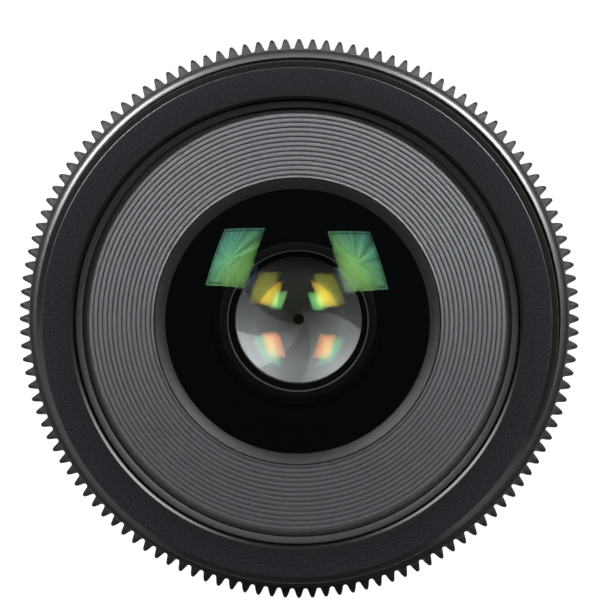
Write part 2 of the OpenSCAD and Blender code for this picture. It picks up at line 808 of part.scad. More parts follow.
module rear_barrel() {
    cone_r0 = rear_cone_d0 / 2;
    cone_r1 = rear_cone_d1 / 2;
    land = 1.2;
    edge = 0.5;
    floor_t = 0.5;
    color(satin_black)
    difference() {
        revolve([
            [ledge_hole_r, plate_z], [cone_r0 - edge, plate_z], [cone_r0, plate_z + edge],
            [cone_r1, cone_top_z - land], [cone_r1, cone_top_z], [sleeve_d / 2, cone_top_z],
            [sleeve_d / 2, index_z0], [sleeve_r0, index_z0], [sleeve_r0, rear_flange_z],
            [ledge_hole_r, rear_flange_z]
        ]);
        around(screw_angles)
            axial_rod(mount_screw_d / 2 + fit, mount_screw_r, plate_z - over, rear_flange_z + over);
        around(rear_cell_screw_angles)
            axial_rod(mid_screw_r + fit, rear_cell_screw_r, plate_z + floor_t, rear_flange_z + over);
        around(barrel_screw_angles)
            radial_rod(grub_r + fit, sleeve_r0 - over, sleeve_d / 2 + over, barrel_screw_z);
        arc_ring(
            sleeve_r0 - over, sleeve_d / 2 + over, lever_z - free_gap, lever_z + lever_h + free_gap,
            lever_angle - lever_side, lever_angle + iris_turn + lever_side
        );
    }
}

module mount_flange() {
    notch_depth = 2;
    color(steel)
    difference() {
        union() {
            cylinder(r = flange_core_d / 2, h = flange_t);
            around([45:90:315])
                arc_ring(
                    flange_core_d / 2 - over, flange_d / 2, 0, flange_t,
                    -wing_angle / 2, wing_angle / 2
                );
            translate([0, 0, -register_l]) cylinder(r = register_d / 2, h = register_l);
            translate([0, 0, tube_z0]) cylinder(r = tube_d / 2, h = tube_l);
        }
        translate([0, 0, tube_z0 - over]) cylinder(r = tube_bore_d / 2, h = -tube_z0 + over);
        translate([0, 0, -over]) cylinder(r = ledge_hole_r, h = flange_t + 2 * over);
        around(screw_angles)
            axial_rod(mount_screw_d / 2 + fit, mount_screw_r, -over, flange_t + over);
        rotate([0, 0, 45])
            translate([flange_d / 2 - notch_depth, -notch_w / 2, -over])
                cube([notch_depth + over, notch_w, flange_t + 2 * over]);
    }
}

module mount_shim() {
    color(brass)
    difference() {
        tube(flange_core_d / 2, ledge_hole_r, flange_t, plate_z);
        around(screw_angles)
            axial_rod(mount_screw_d / 2 + fit, mount_screw_r, flange_t - over, plate_z + over);
    }
}

module mount_screws() {
    color(steel)
    around(screw_angles)
        translate([mount_screw_r, 0, 0])
            mirror([0, 0, 1])
                socket_screw(mount_screw_d / 2, rear_flange_z - grub_sink, mount_head_r, mount_head_h);
}

module rear_cell() {
    bore = rear_r + fit;
    color(deep_black)
    difference() {
        revolve([
            [bore, rear_cell_z0], [rear_cell_r, rear_cell_z0], [rear_cell_r, rear_flange_z],
            [rear_flange_r, rear_flange_z], [rear_flange_r, rear_flange_z + rear_flange_t],
            [rear_cell_r, rear_flange_z + rear_flange_t], [rear_cell_r, rear_cell_z1],
            [bore, rear_cell_z1], [bore, e5_seat_z], [rear_ledge_r, e5_seat_z],
            [rear_ledge_r, e6_seat_z], [bore, e6_seat_z]
        ]);
        around(rear_cell_screw_angles)
            axial_rod(
                mid_screw_r + fit, rear_cell_screw_r,
                rear_flange_z - over, rear_flange_z + rear_flange_t + over
            );
    }
}

module rear_cell_screws() {
    top = rear_flange_z + rear_flange_t;
    shank = top - plate_z - 0.8;
    color(steel)
    around(rear_cell_screw_angles)
        translate([rear_cell_screw_r, 0, top])
            socket_screw(mid_screw_r, shank, mid_head_r, mid_head_h);
}

module rear_front_element() {
    color(glass, 0.5)
    biconvex(rear_r, e5_z, e5_front, e5_back_z, e5_back);
}

module rear_middle_element() {
    color(glass, 0.5)
    hollow_front(rear_r, e6_z, e6_front, e6_back_z, e6_back, e6_seat_z - fit);
}

module rear_back_element() {
    color(glass, 0.5)
    hollow_back(rear_r, e7_z, e7_front, e7_back_z, e7_back, e7_rim_z);
}

module rear_front_retainer() {
    z0 = e5_z - sag(e5_front, rear_ledge_r) + fit;
    color(satin_black)
    tube(rear_r, rear_ledge_r, z0, z0 + retainer_l);
}

module rear_spacer() {
    color(satin_black)
    tube(rear_r, rear_ledge_r, spacer_z0, spacer_z1);
}

module rear_retainer() {
    color(satin_black)
    tube(rear_r, rear_ledge_r, e7_rim_z - fit - retainer_l, e7_rim_z - fit);
}

module iris_base() {
    plate_z0 = cell_z0 - iris_plate_t;
    weld = 0.5;
    window = tab_half + 2;
    color(deep_black)
    difference() {
        union() {
            tube(iris_wall_r1, opening_r, plate_z0, cell_z0);
            tube(iris_wall_r1, iris_wall_r0, iris_ring_z0, plate_z0);
            around(ear_angles)
                arc_ring(iris_wall_r1 - weld, ear_r, plate_z0, cell_z0, -ear_half, ear_half);
        }
        around([0:blade_step:360 - blade_step])
            axial_rod(pin_r + run_clear, pivot_r, plate_z0 - over, cell_z0 + over);
        around(ear_angles)
            axial_rod(mid_screw_r + fit, ear_screw_r, plate_z0 - over, cell_z0 + over);
        arc_ring(
            iris_wall_r0 - over, iris_wall_r1 + over, rotor_z0 - free_gap, rotor_z1 + free_gap,
            lever_angle - window, lever_angle + iris_turn + window
        );
    }
}

module iris_screws() {
    shank = iris_plate_t + cell_floor - 0.8;
    color(steel)
    around(ear_angles)
        translate([ear_screw_r, 0, cell_z0 - iris_plate_t])
            mirror([0, 0, 1])
                socket_screw(mid_screw_r, shank, mid_head_r, mid_head_h);
}

module iris_retainer() {
    color(satin_black)
    tube(iris_wall_r0 - fit, iris_wall_r0 - iris_ring_w, iris_ring_z0, iris_ring_z1);
}

module focus_stop_pin() {
    sunk = 0.5;
    color(steel)
    rotate([0, 0, stop_angle])
        axial_rod(stop_pin_d / 2, stop_r, index_z0 + sunk, focus_z0 + stop_groove_h - run_gap);
}

// Focus ring and the cam that it turns

module focus_ring() {
    bore = cam_r1 + fit;
    edge = 0.4;
    relief_r = relief_d / 2;
    seat_z = focus_z1 - focus_seat_l;
    seat_r = focus_seat_d / 2;
    stop_r0 = gear_root_r(focus_teeth) - 0.9;
    neck = 1.5;
    scale_r0 = focus_scale_d0 / 2;
    scale_r1 = focus_scale_d1 / 2;
    scale_z1 = focus_z0 + focus_scale_l;
    neck_r = scale_r1 - 0.8;
    grip_r = grip_d / 2;
    grip_z0 = scale_z1 + neck;
    grip_z1 = seat_z - neck;
    web_z1 = focus_z1 - cam_end;
    flute_r = 1.4;
    flute_over = 0.2;
    pin_side = asin((stop_pin_d / 2 + 0.15) / stop_r);
    color(matt_black)
    difference() {
        revolve([
            [bore, focus_z0], [scale_r0 - edge, focus_z0], [scale_r0, focus_z0 + edge],
            [scale_r1, scale_z1], [neck_r, scale_z1 + edge], [neck_r, grip_z0 - edge],
            [grip_r - edge, grip_z0], [grip_r, grip_z0 + edge], [grip_r, grip_z1 - edge],
            [grip_r - edge, grip_z1], [stop_r0, grip_z1 + edge], [stop_r0, seat_z], [seat_r, seat_z],
            [seat_r, focus_z1 - edge], [seat_r - edge, focus_z1], [relief_r, focus_z1],
            [relief_r, web_z1], [bore, web_z1], [bore, web_z1 - ring_web],
            [relief_r, web_z1 - ring_web], [relief_r, focus_z0 + ring_web], [bore, focus_z0 + ring_web]
        ]);
        around([0:360 / grip_flutes:359.9])
            axial_rod(flute_r, grip_r + flute_r - flute_depth, grip_z0 - flute_over, grip_z1 + flute_over);
        arc_ring(
            stop_r - stop_groove_w / 2, stop_r + stop_groove_w / 2, focus_z0 - over,
            focus_z0 + stop_groove_h, stop_angle - focus_turn - pin_side, stop_angle + pin_side
        );
        around(ring_screw_angles)
            radial_rod(grub_r + fit, cam_r1, seat_r + over, ring_screw_z);
    }
}

module focus_gear() {
    seat_z = focus_z1 - focus_seat_l;
    teeth_z1 = seat_z + focus_gear_w;
    shoulder_r = gear_root_r(focus_teeth) - root_step;
    slope_h = shoulder_w * tan(shoulder_angle);
    bore = focus_seat_d / 2 + fit;
    color(satin_black)
    difference() {
        union() {
            gear_teeth(focus_teeth, seat_z, teeth_z1);
            revolve([
                [0, teeth_z1 - over], [shoulder_r, teeth_z1 - over], [shoulder_r, focus_z1 - slope_h],
                [shoulder_r - shoulder_w, focus_z1], [0, focus_z1]
            ]);
        }
        translate([0, 0, seat_z - over]) cylinder(r = bore, h = focus_seat_l + 2 * over);
    }
}

module focus_ring_screws() {
    color(steel)
    around(ring_screw_angles)
        grub_screw(grub_r, cam_r1 - ring_screw_grip, focus_seat_d / 2 - grub_sink, ring_screw_z);
}

module cam_slot() {
    r0 = cam_r0 - over;
    r1 = cam_r1 + over;
    points = [for (i = [0:band_steps]) each band_ring(i, r0, r1, slot_half)];
    last = 4 * band_steps;
    ends = [[3, 2, 1], [3, 1, 0], [last, last + 1, last + 2], [last, last + 2, last + 3]];
    sides = [for (i = [0:band_steps - 1]) for (k = [0:3]) each band_side(i, k)];
    end_r = slot_half + 0.03;
    polyhedron(points, concat(ends, sides));
    radial_rod(end_r, r0, r1, 0);
    rotate([0, 0, -focus_turn]) radial_rod(end_r, r0, r1, focus_travel);
}

module cam_barrel() {
    color(alloy)
    difference() {
        tube(cam_r1, cam_r0, focus_z0, focus_z1 - cam_end);
        around(follower_angles) translate([0, 0, follower_z]) cam_slot();
        around(ring_screw_angles)
            radial_rod(grub_r + fit, cam_r1 - ring_screw_grip - 0.2, cam_r1 + over, ring_screw_z);
    }
}

// Focus group that slides in the main barrel

module focus_carrier() {
    e3_bore = e3_d / 2 + fit;
    e4_bore = e4_d / 2 + fit;
    rim_r0 = carrier_r - rim_wall;
    pin_hole_r0 = carrier_r - cam_pin_grip - 0.2;
    lever_space = 0.8;
    color(alloy)
    difference() {
        revolve([
            [e4_bore, hub_z0], [hub_r1, hub_z0], [hub_r1, follower_z - web_half],
            [rim_r0, follower_z - web_half], [rim_r0, follower_z - rim_half],
            [carrier_r, follower_z - rim_half], [carrier_r, follower_z + rim_half],
            [rim_r0, follower_z + rim_half], [rim_r0, follower_z + web_half],
            [hub_r1, follower_z + web_half], [hub_r1, hub_z1], [e3_bore, hub_z1],
            [e3_bore, e3_seat_z], [hub_ledge_r, e3_seat_z], [hub_ledge_r, e4_seat_z],
            [e4_bore, e4_seat_z]
        ]);
        around(follower_angles)
            radial_rod(follower_pin_d / 2 + fit, pin_hole_r0, carrier_r + over, follower_z);
        arc_ring(
            lever_r0 - lever_space, carrier_r + over, follower_z - rim_half - over,
            follower_z + rim_half + over, lever_angle - lever_side, lever_angle + iris_turn + lever_side
        );
    }
}

module cam_pins() {
    color(steel)
    around(follower_angles)
        radial_rod(follower_pin_d / 2, carrier_r - cam_pin_grip, cam_pin_r1, follower_z);
}

module cam_rollers() {
    color(brass)
    around(follower_angles)
        difference() {
            radial_rod(roller_r, carrier_r + free_gap, cam_pin_r1, follower_z);
            radial_rod(follower_pin_d / 2 + fit, carrier_r - over, cam_r1 + over, follower_z);
        }
}

module focus_front_element() {
    color(glass, 0.5)
    biconvex(e3_d / 2, e3_z, e3_front, e3_back_z, e3_back);
}

module focus_rear_element() {
    color(glass, 0.5)
    hollow_front(e4_d / 2, e4_z, e4_front, e4_back_z, e4_back, e4_seat_z - fit);
}

module focus_front_retainer() {
    z0 = e3_z - sag(e3_front, hub_ledge_r) + fit;
    color(satin_black)
    tube(e3_d / 2, hub_ledge_r, z0, z0 + retainer_l);
}

module focus_rear_retainer() {
    inner = hub_ledge_r - 0.6;
    z1 = e4_back_z + sag(e4_back, inner) - fit;
    color(satin_black)
    tube(e4_d / 2, inner, z1 - retainer_l, z1);
}

// Iris ring and the rotor that it turns

module iris_ring() {
    bore = sleeve_d / 2 + run_clear;
    edge = 0.4;
    slope = 1;
    seat_r = iris_seat_d / 2;
    scale_r = iris_scale_d / 2;
    scale_z0 = iris_gear_z + iris_gear_w;
    color(matt_black)
    difference() {
        revolve([
            [bore, iris_z0], [seat_r - slope, iris_z0], [seat_r, iris_gear_z], [seat_r, scale_z0],
            [scale_r - slope, scale_z0], [scale_r, scale_z0 + slope], [scale_r, iris_z1 - edge],
            [scale_r - edge, iris_z1], [bore, iris_z1]
        ]);
        rotate([0, 0, lever_angle]) {
            translate([bore - over, -lever_w / 2 - fit, lever_z - fit])
                cube([lever_reach + fit - bore + over, lever_w + 2 * fit, lever_h + 2 * fit]);
            radial_rod(mid_screw_r + fit, bore, seat_r + over, lever_screw_z);
            radial_rod(mid_head_r + fit, lever_head_r - fit, seat_r + over, lever_screw_z);
        }
    }
}

module iris_gear() {
    bore = iris_seat_d / 2 + fit;
    color(satin_black)
    difference() {
        gear_teeth(iris_teeth, iris_gear_z, iris_gear_z + iris_gear_w);
        translate([0, 0, iris_gear_z - over]) cylinder(r = bore, h = iris_gear_w + 2 * over);
    }
}

module iris_lever() {
    color(steel)
    rotate([0, 0, lever_angle])
    difference() {
        union() {
            translate([lever_r0, -lever_w / 2, lever_z])
                cube([lever_t, lever_w, rotor_z0 - lever_z]);
            translate([lever_r0, -lever_w / 2, lever_z])
                cube([lever_reach - lever_r0, lever_w, lever_h]);
        }
        radial_rod(mid_screw_r + fit, lever_reach - lever_thread_l, lever_reach + over, lever_screw_z);
    }
}

module lever_screw() {
    shank = lever_head_r - lever_reach + lever_thread_l - 0.2;
    color(steel)
    rotate([0, 0, lever_angle])
        translate([lever_head_r, 0, lever_screw_z])
            rotate([0, 90, 0])
                socket_screw(mid_screw_r, shank, mid_head_r, mid_head_h);
}

module iris_rotor() {
    color(satin_black)
    difference() {
        union() {
            tube(rotor_r, opening_r + rotor_step, rotor_z0, rotor_z1);
            arc_ring(
                rotor_r - over, lever_r1, rotor_z0, rotor_z1,
                lever_angle - tab_half, lever_angle + tab_half
            );
        }
        around([0:blade_step:360 - blade_step])
            translate([0, 0, rotor_z0 - over]) {
                linear_extrude(rotor_t + 2 * over)
                    polygon(concat(slot_side(1), reversed(slot_side(-1))));
                for (t = [0, 1])
                    translate(rotor_path(t)) cylinder(r = pin_slot_r, h = rotor_t + 2 * over);
            }
    }
}

// Outline of one open blade: the inner arc, the round tip, the outer arc and the two lobes
function blade_outline() =
    let (
        outer_r = blade_r0 + blade_w,
        tip = polar(blade_r0 + blade_w / 2, blade_span)
    )
    concat(
        arc_points([0, 0], blade_r0, root_angle, blade_span - 1, arc_steps),
        arc_points(tip, blade_w / 2, blade_span + 170, blade_span + 10, tip_steps),
        arc_points([0, 0], outer_r, blade_span - 1, lobe_angle + lobe_neck, arc_steps),
        arc_points(pin_open, pin_boss, lobe_angle + 80, lobe_angle - 80, boss_steps),
        arc_points([0, 0], outer_r, lobe_angle - lobe_neck, neck_angle, 2),
        arc_points([pivot_r, 0], pivot_boss, 80, -80, boss_steps),
        [polar(outer_r, root_angle)]
    );

// One blade, drawn open and then turned shut about its pivot, on its own layer
module iris_blade(number) {
    z = blade_z1 - blade_t - blade_pitch * (number - 1);
    middle_z = z + blade_t / 2;
    pin_z0 = rotor_z0 + pin_short;
    color(steel)
    rotate([0, 0, blade_step * (number - 1)])
        translate([pivot_r, 0, 0])
            rotate([0, 0, close_angle])
                translate([-pivot_r, 0, 0]) {
                    translate([0, 0, z]) linear_extrude(blade_t) polygon(blade_outline());
                    axial_rod(pin_r, pivot_r, middle_z, cell_z0 - pin_short);
                    translate([pin_open[0], pin_open[1], pin_z0])
                        cylinder(r = pin_r, h = middle_z - pin_z0);
                }
}

front_ring();
front_baffle();
front_retainer();
front_element();
second_element();
second_retainer();
front_cell();
front_screws();
main_barrel();
barrel_screws();
index_ring();
index_screws();
rear_barrel();
mount_flange();
mount_shim();
mount_screws();
rear_cell();
rear_cell_screws();
rear_front_element();
rear_middle_element();
rear_back_element();
rear_front_retainer();
rear_spacer();
rear_retainer();
iris_base();
iris_retainer();
iris_screws();
focus_stop_pin();
focus_ring();
focus_gear();
cam_barrel();
focus_ring_screws();
focus_carrier();
cam_pins();
cam_rollers();
focus_front_element();
focus_rear_element();
focus_front_retainer();
focus_rear_retainer();
iris_ring();
iris_gear();
iris_lever();
lever_screw();
iris_rotor();
for (i = [1:blade_count])
    iris_blade(i);
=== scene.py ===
"""Cinema prime lens: the looks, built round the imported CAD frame. Lengths are in millimetres until MM."""

import json
import math

import bpy
import numpy as np
from mathutils import Matrix, Vector


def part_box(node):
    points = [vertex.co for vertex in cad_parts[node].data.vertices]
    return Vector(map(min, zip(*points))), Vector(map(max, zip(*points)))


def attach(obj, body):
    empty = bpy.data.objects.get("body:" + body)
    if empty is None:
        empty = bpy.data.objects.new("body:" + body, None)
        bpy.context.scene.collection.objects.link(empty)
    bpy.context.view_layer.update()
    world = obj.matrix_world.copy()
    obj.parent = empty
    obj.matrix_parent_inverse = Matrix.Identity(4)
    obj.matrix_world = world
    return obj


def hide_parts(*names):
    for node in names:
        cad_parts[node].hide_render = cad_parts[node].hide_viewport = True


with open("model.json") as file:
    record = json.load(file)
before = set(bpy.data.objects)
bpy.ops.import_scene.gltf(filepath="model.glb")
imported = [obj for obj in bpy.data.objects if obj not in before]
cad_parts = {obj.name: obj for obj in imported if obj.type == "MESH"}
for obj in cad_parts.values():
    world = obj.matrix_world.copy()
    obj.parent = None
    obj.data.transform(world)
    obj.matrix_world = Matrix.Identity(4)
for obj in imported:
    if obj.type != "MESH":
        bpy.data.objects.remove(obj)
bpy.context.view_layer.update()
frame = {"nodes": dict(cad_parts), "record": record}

MM = 0.001
SEGMENTS = 288
FINE_SEGMENTS = 384
FIT = 0.05

# Radii in millimetres, with the heights read from the frame
RECORD = frame["record"]
MOUNTS = {m["name"]: m for m in RECORD["mounts"]}
FRONT_R = MOUNTS["front_clamp"]["dims"]["r_mm"]
THREAD_R = MOUNTS["filter_thread"]["dims"]["r_mm"]


def heights(node):
    """Lowest and highest point of a CAD node along the optical axis."""
    low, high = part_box(node)
    return low.z / MM, high.z / MM


def radius(node):
    """Outer radius of a CAD node that is round about the optical axis."""
    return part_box(node)[1].x / MM


FRONT_Z0, FRONT_Z1 = heights("front_ring")
BAFFLE_Z0 = heights("front_baffle")[0]
GEAR_Z0, GEAR_Z1 = heights("focus_gear")
FOCUS_Z0, FOCUS_Z1 = heights("focus_ring")
INDEX_Z0, INDEX_Z1 = heights("index_ring")
IRIS_Z0, IRIS_Z1 = heights("iris_ring")
IRIS_GEAR_Z0, IRIS_GEAR_Z1 = heights("iris_gear")
E1_SEAT_Z, E1_Z = heights("front_element")
E2_BACK_Z, E2_Z = heights("second_element")
RING2_Z0, RING2_Z1 = heights("second_retainer")
CELL_Z0 = heights("front_cell")[0]
FLOOR_Z = heights("mount_flange")[0]


# Profiles and meshes
SHARP_ANGLE = math.radians(28)
STRAIGHT_HALF = math.radians(88)
LEAST_HALF = 0.01
LEAST_REACH = 1e-4
SIDE_SHARE = 0.45


def fillet(points, default=0.12, steps=4):
    """Closed profile whose corners are rounded. A point is (r, z) or (r, z, radius)."""
    out = []
    for i, point in enumerate(points):
        corner_r = point[2] if len(point) > 2 else default
        p = np.array(point[:2], float)
        a = np.array(points[i - 1][:2], float) - p
        b = np.array(points[(i + 1) % len(points)][:2], float) - p
        la, lb = np.linalg.norm(a), np.linalg.norm(b)
        a, b = a / la, b / lb
        half = math.acos(np.clip(a @ b, -1, 1)) / 2
        reach = 0
        if half > LEAST_HALF:
            reach = min(corner_r / math.tan(half), SIDE_SHARE * la, SIDE_SHARE * lb)
        if corner_r <= 0 or half > STRAIGHT_HALF or reach < LEAST_REACH:
            out.append(tuple(p))
            continue
        bow = reach * math.tan(half)
        centre = p + (a + b) / np.linalg.norm(a + b) * bow / math.sin(half)
        start, end = p + a * reach - centre, p + b * reach - centre
        a0, a1 = math.atan2(start[1], start[0]), math.atan2(end[1], end[0])
        turn = (a1 - a0 + math.pi) % (2 * math.pi) - math.pi
        for k in range(steps + 1):
            angle = a0 + turn * k / steps
            out.append((centre[0] + bow * math.cos(angle), centre[1] + bow * math.sin(angle)))
    return out


def finish_mesh(name, verts, faces, materials, face_materials=None):
    mesh = bpy.data.meshes.new(name)
    mesh.from_pydata([tuple(v) for v in np.asarray(verts) * MM], [], faces)
    for material in materials:
        mesh.materials.append(material)
    if face_materials is not None:
        mesh.polygons.foreach_set("material_index", face_materials)
    mesh.polygons.foreach_set("use_smooth", [True] * len(mesh.polygons))
    mesh.update()
    mark_sharp(mesh)
    obj = bpy.data.objects.new(name, mesh)
    bpy.context.scene.collection.objects.link(obj)
    return obj


def mark_sharp(mesh):
    """Edges between faces that meet at an angle are kept crisp."""
    normals = [p.normal for p in mesh.polygons]
    sides = {}
    for polygon in mesh.polygons:
        for key in polygon.edge_keys:
            sides.setdefault(key, []).append(polygon.index)
    for edge in mesh.edges:
        pair = sides.get(tuple(sorted(edge.vertices)), [])
        if len(pair) == 2 and normals[pair[0]].angle(normals[pair[1]], 0) > SHARP_ANGLE:
            edge.use_edge_sharp = True


def seat(obj, body, slot, *nodes):
    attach(obj, body)
    if nodes:
        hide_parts(*nodes)


def even_angles(count):
    return np.linspace(0, 2 * math.pi, count, endpoint=False)


def circle(angles, r, z):
    """Points round the optical axis. The radius is one number, or one for each angle."""
    return np.stack([r * np.cos(angles), r * np.sin(angles), np.full(len(angles), z)], 1)


def loops_to_faces(count, size, closed):
    faces = []
    for j in range(count if closed else count - 1):
        k = (j + 1) % count
        for i in range(size):
            n = (i + 1) % size
            faces.append((j * size + i, k * size + i, k * size + n, j * size + n))
    return faces


def signed_area(profile):
    return sum(a[0] * b[1] - b[0] * a[1] for a, b in zip(profile, profile[1:] + profile[:1])) / 2


def lathe(name, profile, material, segments=SEGMENTS, accents=()):
    """Ring turned from a closed profile of (r, z) points.

    An accent is a material with the test for the places that get it."""
    angles = even_angles(segments)
    loops = [circle(angles, r, z) for r, z in profile]
    faces = loops_to_faces(len(profile), segments, True)
    if signed_area(profile) > 0:
        faces = [f[::-1] for f in faces]
    kinds = []
    for a, b in zip(profile, profile[1:] + profile[:1]):
        r, z = (a[0] + b[0]) / 2, (a[1] + b[1]) / 2
        kind = next((k for k, (_, holds) in enumerate(accents, 1) if holds(r, z)), 0)
        kinds += [kind] * segments
    return finish_mesh(name, np.concatenate(loops), faces, [material, *(m for m, _ in accents)], kinds)


def faced_out(obj):
    """Turns the faces of a closed mesh outwards."""
    if sum(p.center.dot(p.normal) * p.area for p in obj.data.polygons) < 0:
        obj.data.flip_normals()
    return obj


def shaped_ring(name, loops, *bands):
    """Closed ring from loops of (n, 3) points that run round its cross-section.

    A band is (material, number of loops that start with it)."""
    size = len(loops[0])
    faces = loops_to_faces(len(loops), size, True)
    kinds = [k for k, (_, count) in enumerate(bands) for _ in range(count * size)]
    return faced_out(finish_mesh(name, np.concatenate(loops), faces, [m for m, _ in bands], kinds))


def see_through(obj):
    """Glass that casts no shadow and that only the camera sees, so that light reaches what is behind."""
    obj.visible_shadow = False
    obj.visible_diffuse = False
    obj.visible_glossy = False
    return obj


def sphere_depth(curve, r):
    return curve - np.sqrt(curve * curve - r * r)


LENS_RINGS = 40


def lens(name, rim_r, front_z, front_curve, back_z, back_curve, rim_z, materials):
    """Glass disc. A positive curve bulges out of the glass; rim_z is where a hollow back ends."""
    r = np.linspace(0, rim_r, LENS_RINGS + 1)
    front = front_z - np.sign(front_curve) * sphere_depth(abs(front_curve), r)
    back = back_z + np.sign(back_curve) * sphere_depth(abs(back_curve), r)
    if rim_z is not None:
        back = np.maximum(back, rim_z)
    angles = even_angles(SEGMENTS)
    ring = np.stack([np.cos(angles), np.sin(angles)], 1)
    verts = [(0, 0, front[0])]
    for k in range(1, LENS_RINGS + 1):
        verts += [(x * r[k], y * r[k], front[k]) for x, y in ring]
    for k in range(LENS_RINGS, 0, -1):
        verts += [(x * r[k], y * r[k], back[k]) for x, y in ring]
    verts.append((0, 0, back[0]))
    faces, kinds = [], []
    last = len(verts) - 1
    loops = 2 * LENS_RINGS
    rim = LENS_RINGS - 1
    for i in range(SEGMENTS):
        n = (i + 1) % SEGMENTS
        faces.append((0, 1 + i, 1 + n))
        kinds.append(0)
        for j in range(loops - 1):
            a = 1 + j * SEGMENTS
            b = a + SEGMENTS
            faces.append((a + i, b + i, b + n, a + n))
            kinds.append(0 if j < rim else 2 if j == rim else 1)
        a = 1 + (loops - 1) * SEGMENTS
        faces.append((a + i, last, a + n))
        kinds.append(1)
    return finish_mesh(name, verts, faces, materials, kinds)


# Materials
NOISE_ROUGHNESS = 0.55


class Nodes:
    """A material's node tree with short calls for making and linking nodes."""

    def __init__(self, name):
        self.material = bpy.data.materials.new(name)
        self.material.use_nodes = True
        self.tree = self.material.node_tree
        self.tree.nodes.clear()
        self.out = self.add("ShaderNodeOutputMaterial")

    def add(self, kind, **values):
        """New node, with the values of its settings and inputs."""
        made = self.tree.nodes.new(kind)
        for key, value in values.items():
            if hasattr(made, key) and key not in made.inputs:
                setattr(made, key, value)
            else:
                made.inputs[key].default_value = value
        return made

    def link(self, source, target):
        self.tree.links.new(source, target)

    def feed(self, made, values):
        """Gives a node's first inputs a socket or a plain value each."""
        for entry, value in zip(made.inputs, values):
            if isinstance(value, bpy.types.NodeSocket):
                self.link(value, entry)
            else:
                entry.default_value = value

    def calc(self, operation, *values, clamp=False):
        made = self.add("ShaderNodeMath", operation=operation, use_clamp=clamp)
        self.feed(made, values)
        return made.outputs["Value"]

    def vector(self, operation, *values):
        made = self.add("ShaderNodeVectorMath", operation=operation)
        self.feed(made, values)
        return made.outputs["Value" if operation == "LENGTH" else "Vector"]

    def noise(self, scale, detail):
        place = self.add("ShaderNodeTexCoord")
        made = self.add("ShaderNodeTexNoise", Scale=scale, Detail=detail, Roughness=NOISE_ROUGHNESS)
        self.link(place.outputs["Object"], made.inputs["Vector"])
        return made.outputs["Fac"]

    def streaks(self, source, scale, detail):
        """Noise along one value."""
        made = self.add("ShaderNodeTexNoise", noise_dimensions="1D", Scale=scale, Detail=detail)
        self.link(source, made.inputs["W"])
        return made.outputs["Fac"]

    def ramp(self, source, stops):
        made = self.add("ShaderNodeValToRGB")
        line = made.color_ramp
        while len(line.elements) < len(stops):
            line.elements.new(0.5)
        for element, (place, colour) in zip(line.elements, stops):
            element.position = place
            element.color = (*colour, 1.0)
        self.link(source, made.inputs["Fac"])
        return made.outputs["Color"]

    def remap(self, source, low, high, start=0.0, end=1.0):
        """Low where the source is at start, high where it is at end."""
        made = self.add("ShaderNodeMapRange")
        for key, value in (("From Min", start), ("From Max", end), ("To Min", low), ("To Max", high)):
            made.inputs[key].default_value = value
        self.link(source, made.inputs["Value"])
        return made.outputs["Result"]

    def axis_distance(self):
        """Distance from the optical axis, in metres."""
        place = self.add("ShaderNodeTexCoord")
        return self.vector("LENGTH", self.vector("MULTIPLY", place.outputs["Object"], (1.0, 1.0, 0.0)))

    def faded(self, colour, near, far, share):
        """Colour that falls to a share of itself from the far radius to the near one."""
        made = self.add("ShaderNodeVectorMath", operation="SCALE")
        self.link(colour, made.inputs[0])
        self.link(self.remap(self.axis_distance(), share, 1.0, near * MM, far * MM), made.inputs["Scale"])
        return made.outputs["Vector"]

    def bump(self, source, strength, distance):
        made = self.add("ShaderNodeBump", Strength=strength, Distance=distance)
        self.link(source, made.inputs["Height"])
        return made.outputs["Normal"]

    def mixed(self, share, first, second):
        made = self.add("ShaderNodeMixShader")
        self.feed(made, (share, first, second))
        return made.outputs["Shader"]

    def surface(self, shader):
        """The finished material."""
        self.link(shader, self.out.inputs["Surface"])
        return self.material


def scaled(colour, factor):
    return tuple(min(1.0, c * factor) for c in colour)


def grey(level):
    return (level,) * 3


GLOSS_ROUGHNESS = 0.2
GLOSS_IOR = 1.8
BROAD_SCALE = 90.0
BROAD_DETAIL = 4.0
GRAIN_DETAIL = 2.0
GRAIN_STOPS = (0.3, 0.7)
GRAIN_HEIGHT = 0.00006
GRAIN_SHEEN = (-0.06, 0.08)
LINE_DETAIL = 2.0
LINE_TONES = ((0.25, 0.8), (0.75, 1.15))
LINE_HEIGHT = 0.00004
LINE_SHEEN = (-0.08, 0.1)


def coated(name, colour, roughness, grain=2600.0, grain_depth=0.25, spread=0.25, metallic=0.0,
           specular=0.5, ior=1.5, gloss=0.0, fleck=0.0, fade=None):
    """Anodised or painted metal: fine grain, flecks, uneven sheen and a thin glossy layer over it.

    A fade is (near radius, far radius, share): the colour falls to that share towards the near radius."""
    n = Nodes(name)
    shader = n.add("ShaderNodeBsdfPrincipled", Metallic=metallic, IOR=ior, **{
        "Specular IOR Level": specular, "Coat Weight": gloss,
        "Coat Roughness": GLOSS_ROUGHNESS, "Coat IOR": GLOSS_IOR,
    })
    fine = n.noise(grain, GRAIN_DETAIL)
    broad = n.noise(BROAD_SCALE, BROAD_DETAIL)
    blend = n.add("ShaderNodeMix", data_type="FLOAT", Factor=fleck)
    n.link(broad, blend.inputs["A"])
    n.link(fine, blend.inputs["B"])
    tones = [scaled(colour, 1 - spread), scaled(colour, 1 + spread)]
    tone = n.ramp(blend.outputs["Result"], list(zip(GRAIN_STOPS, tones)))
    n.link(n.faded(tone, *fade) if fade else tone, shader.inputs["Base Color"])
    n.link(n.remap(fine, *(roughness + step for step in GRAIN_SHEEN)), shader.inputs["Roughness"])
    n.link(n.bump(fine, grain_depth, GRAIN_HEIGHT), shader.inputs["Normal"])
    return n.surface(shader.outputs["BSDF"])


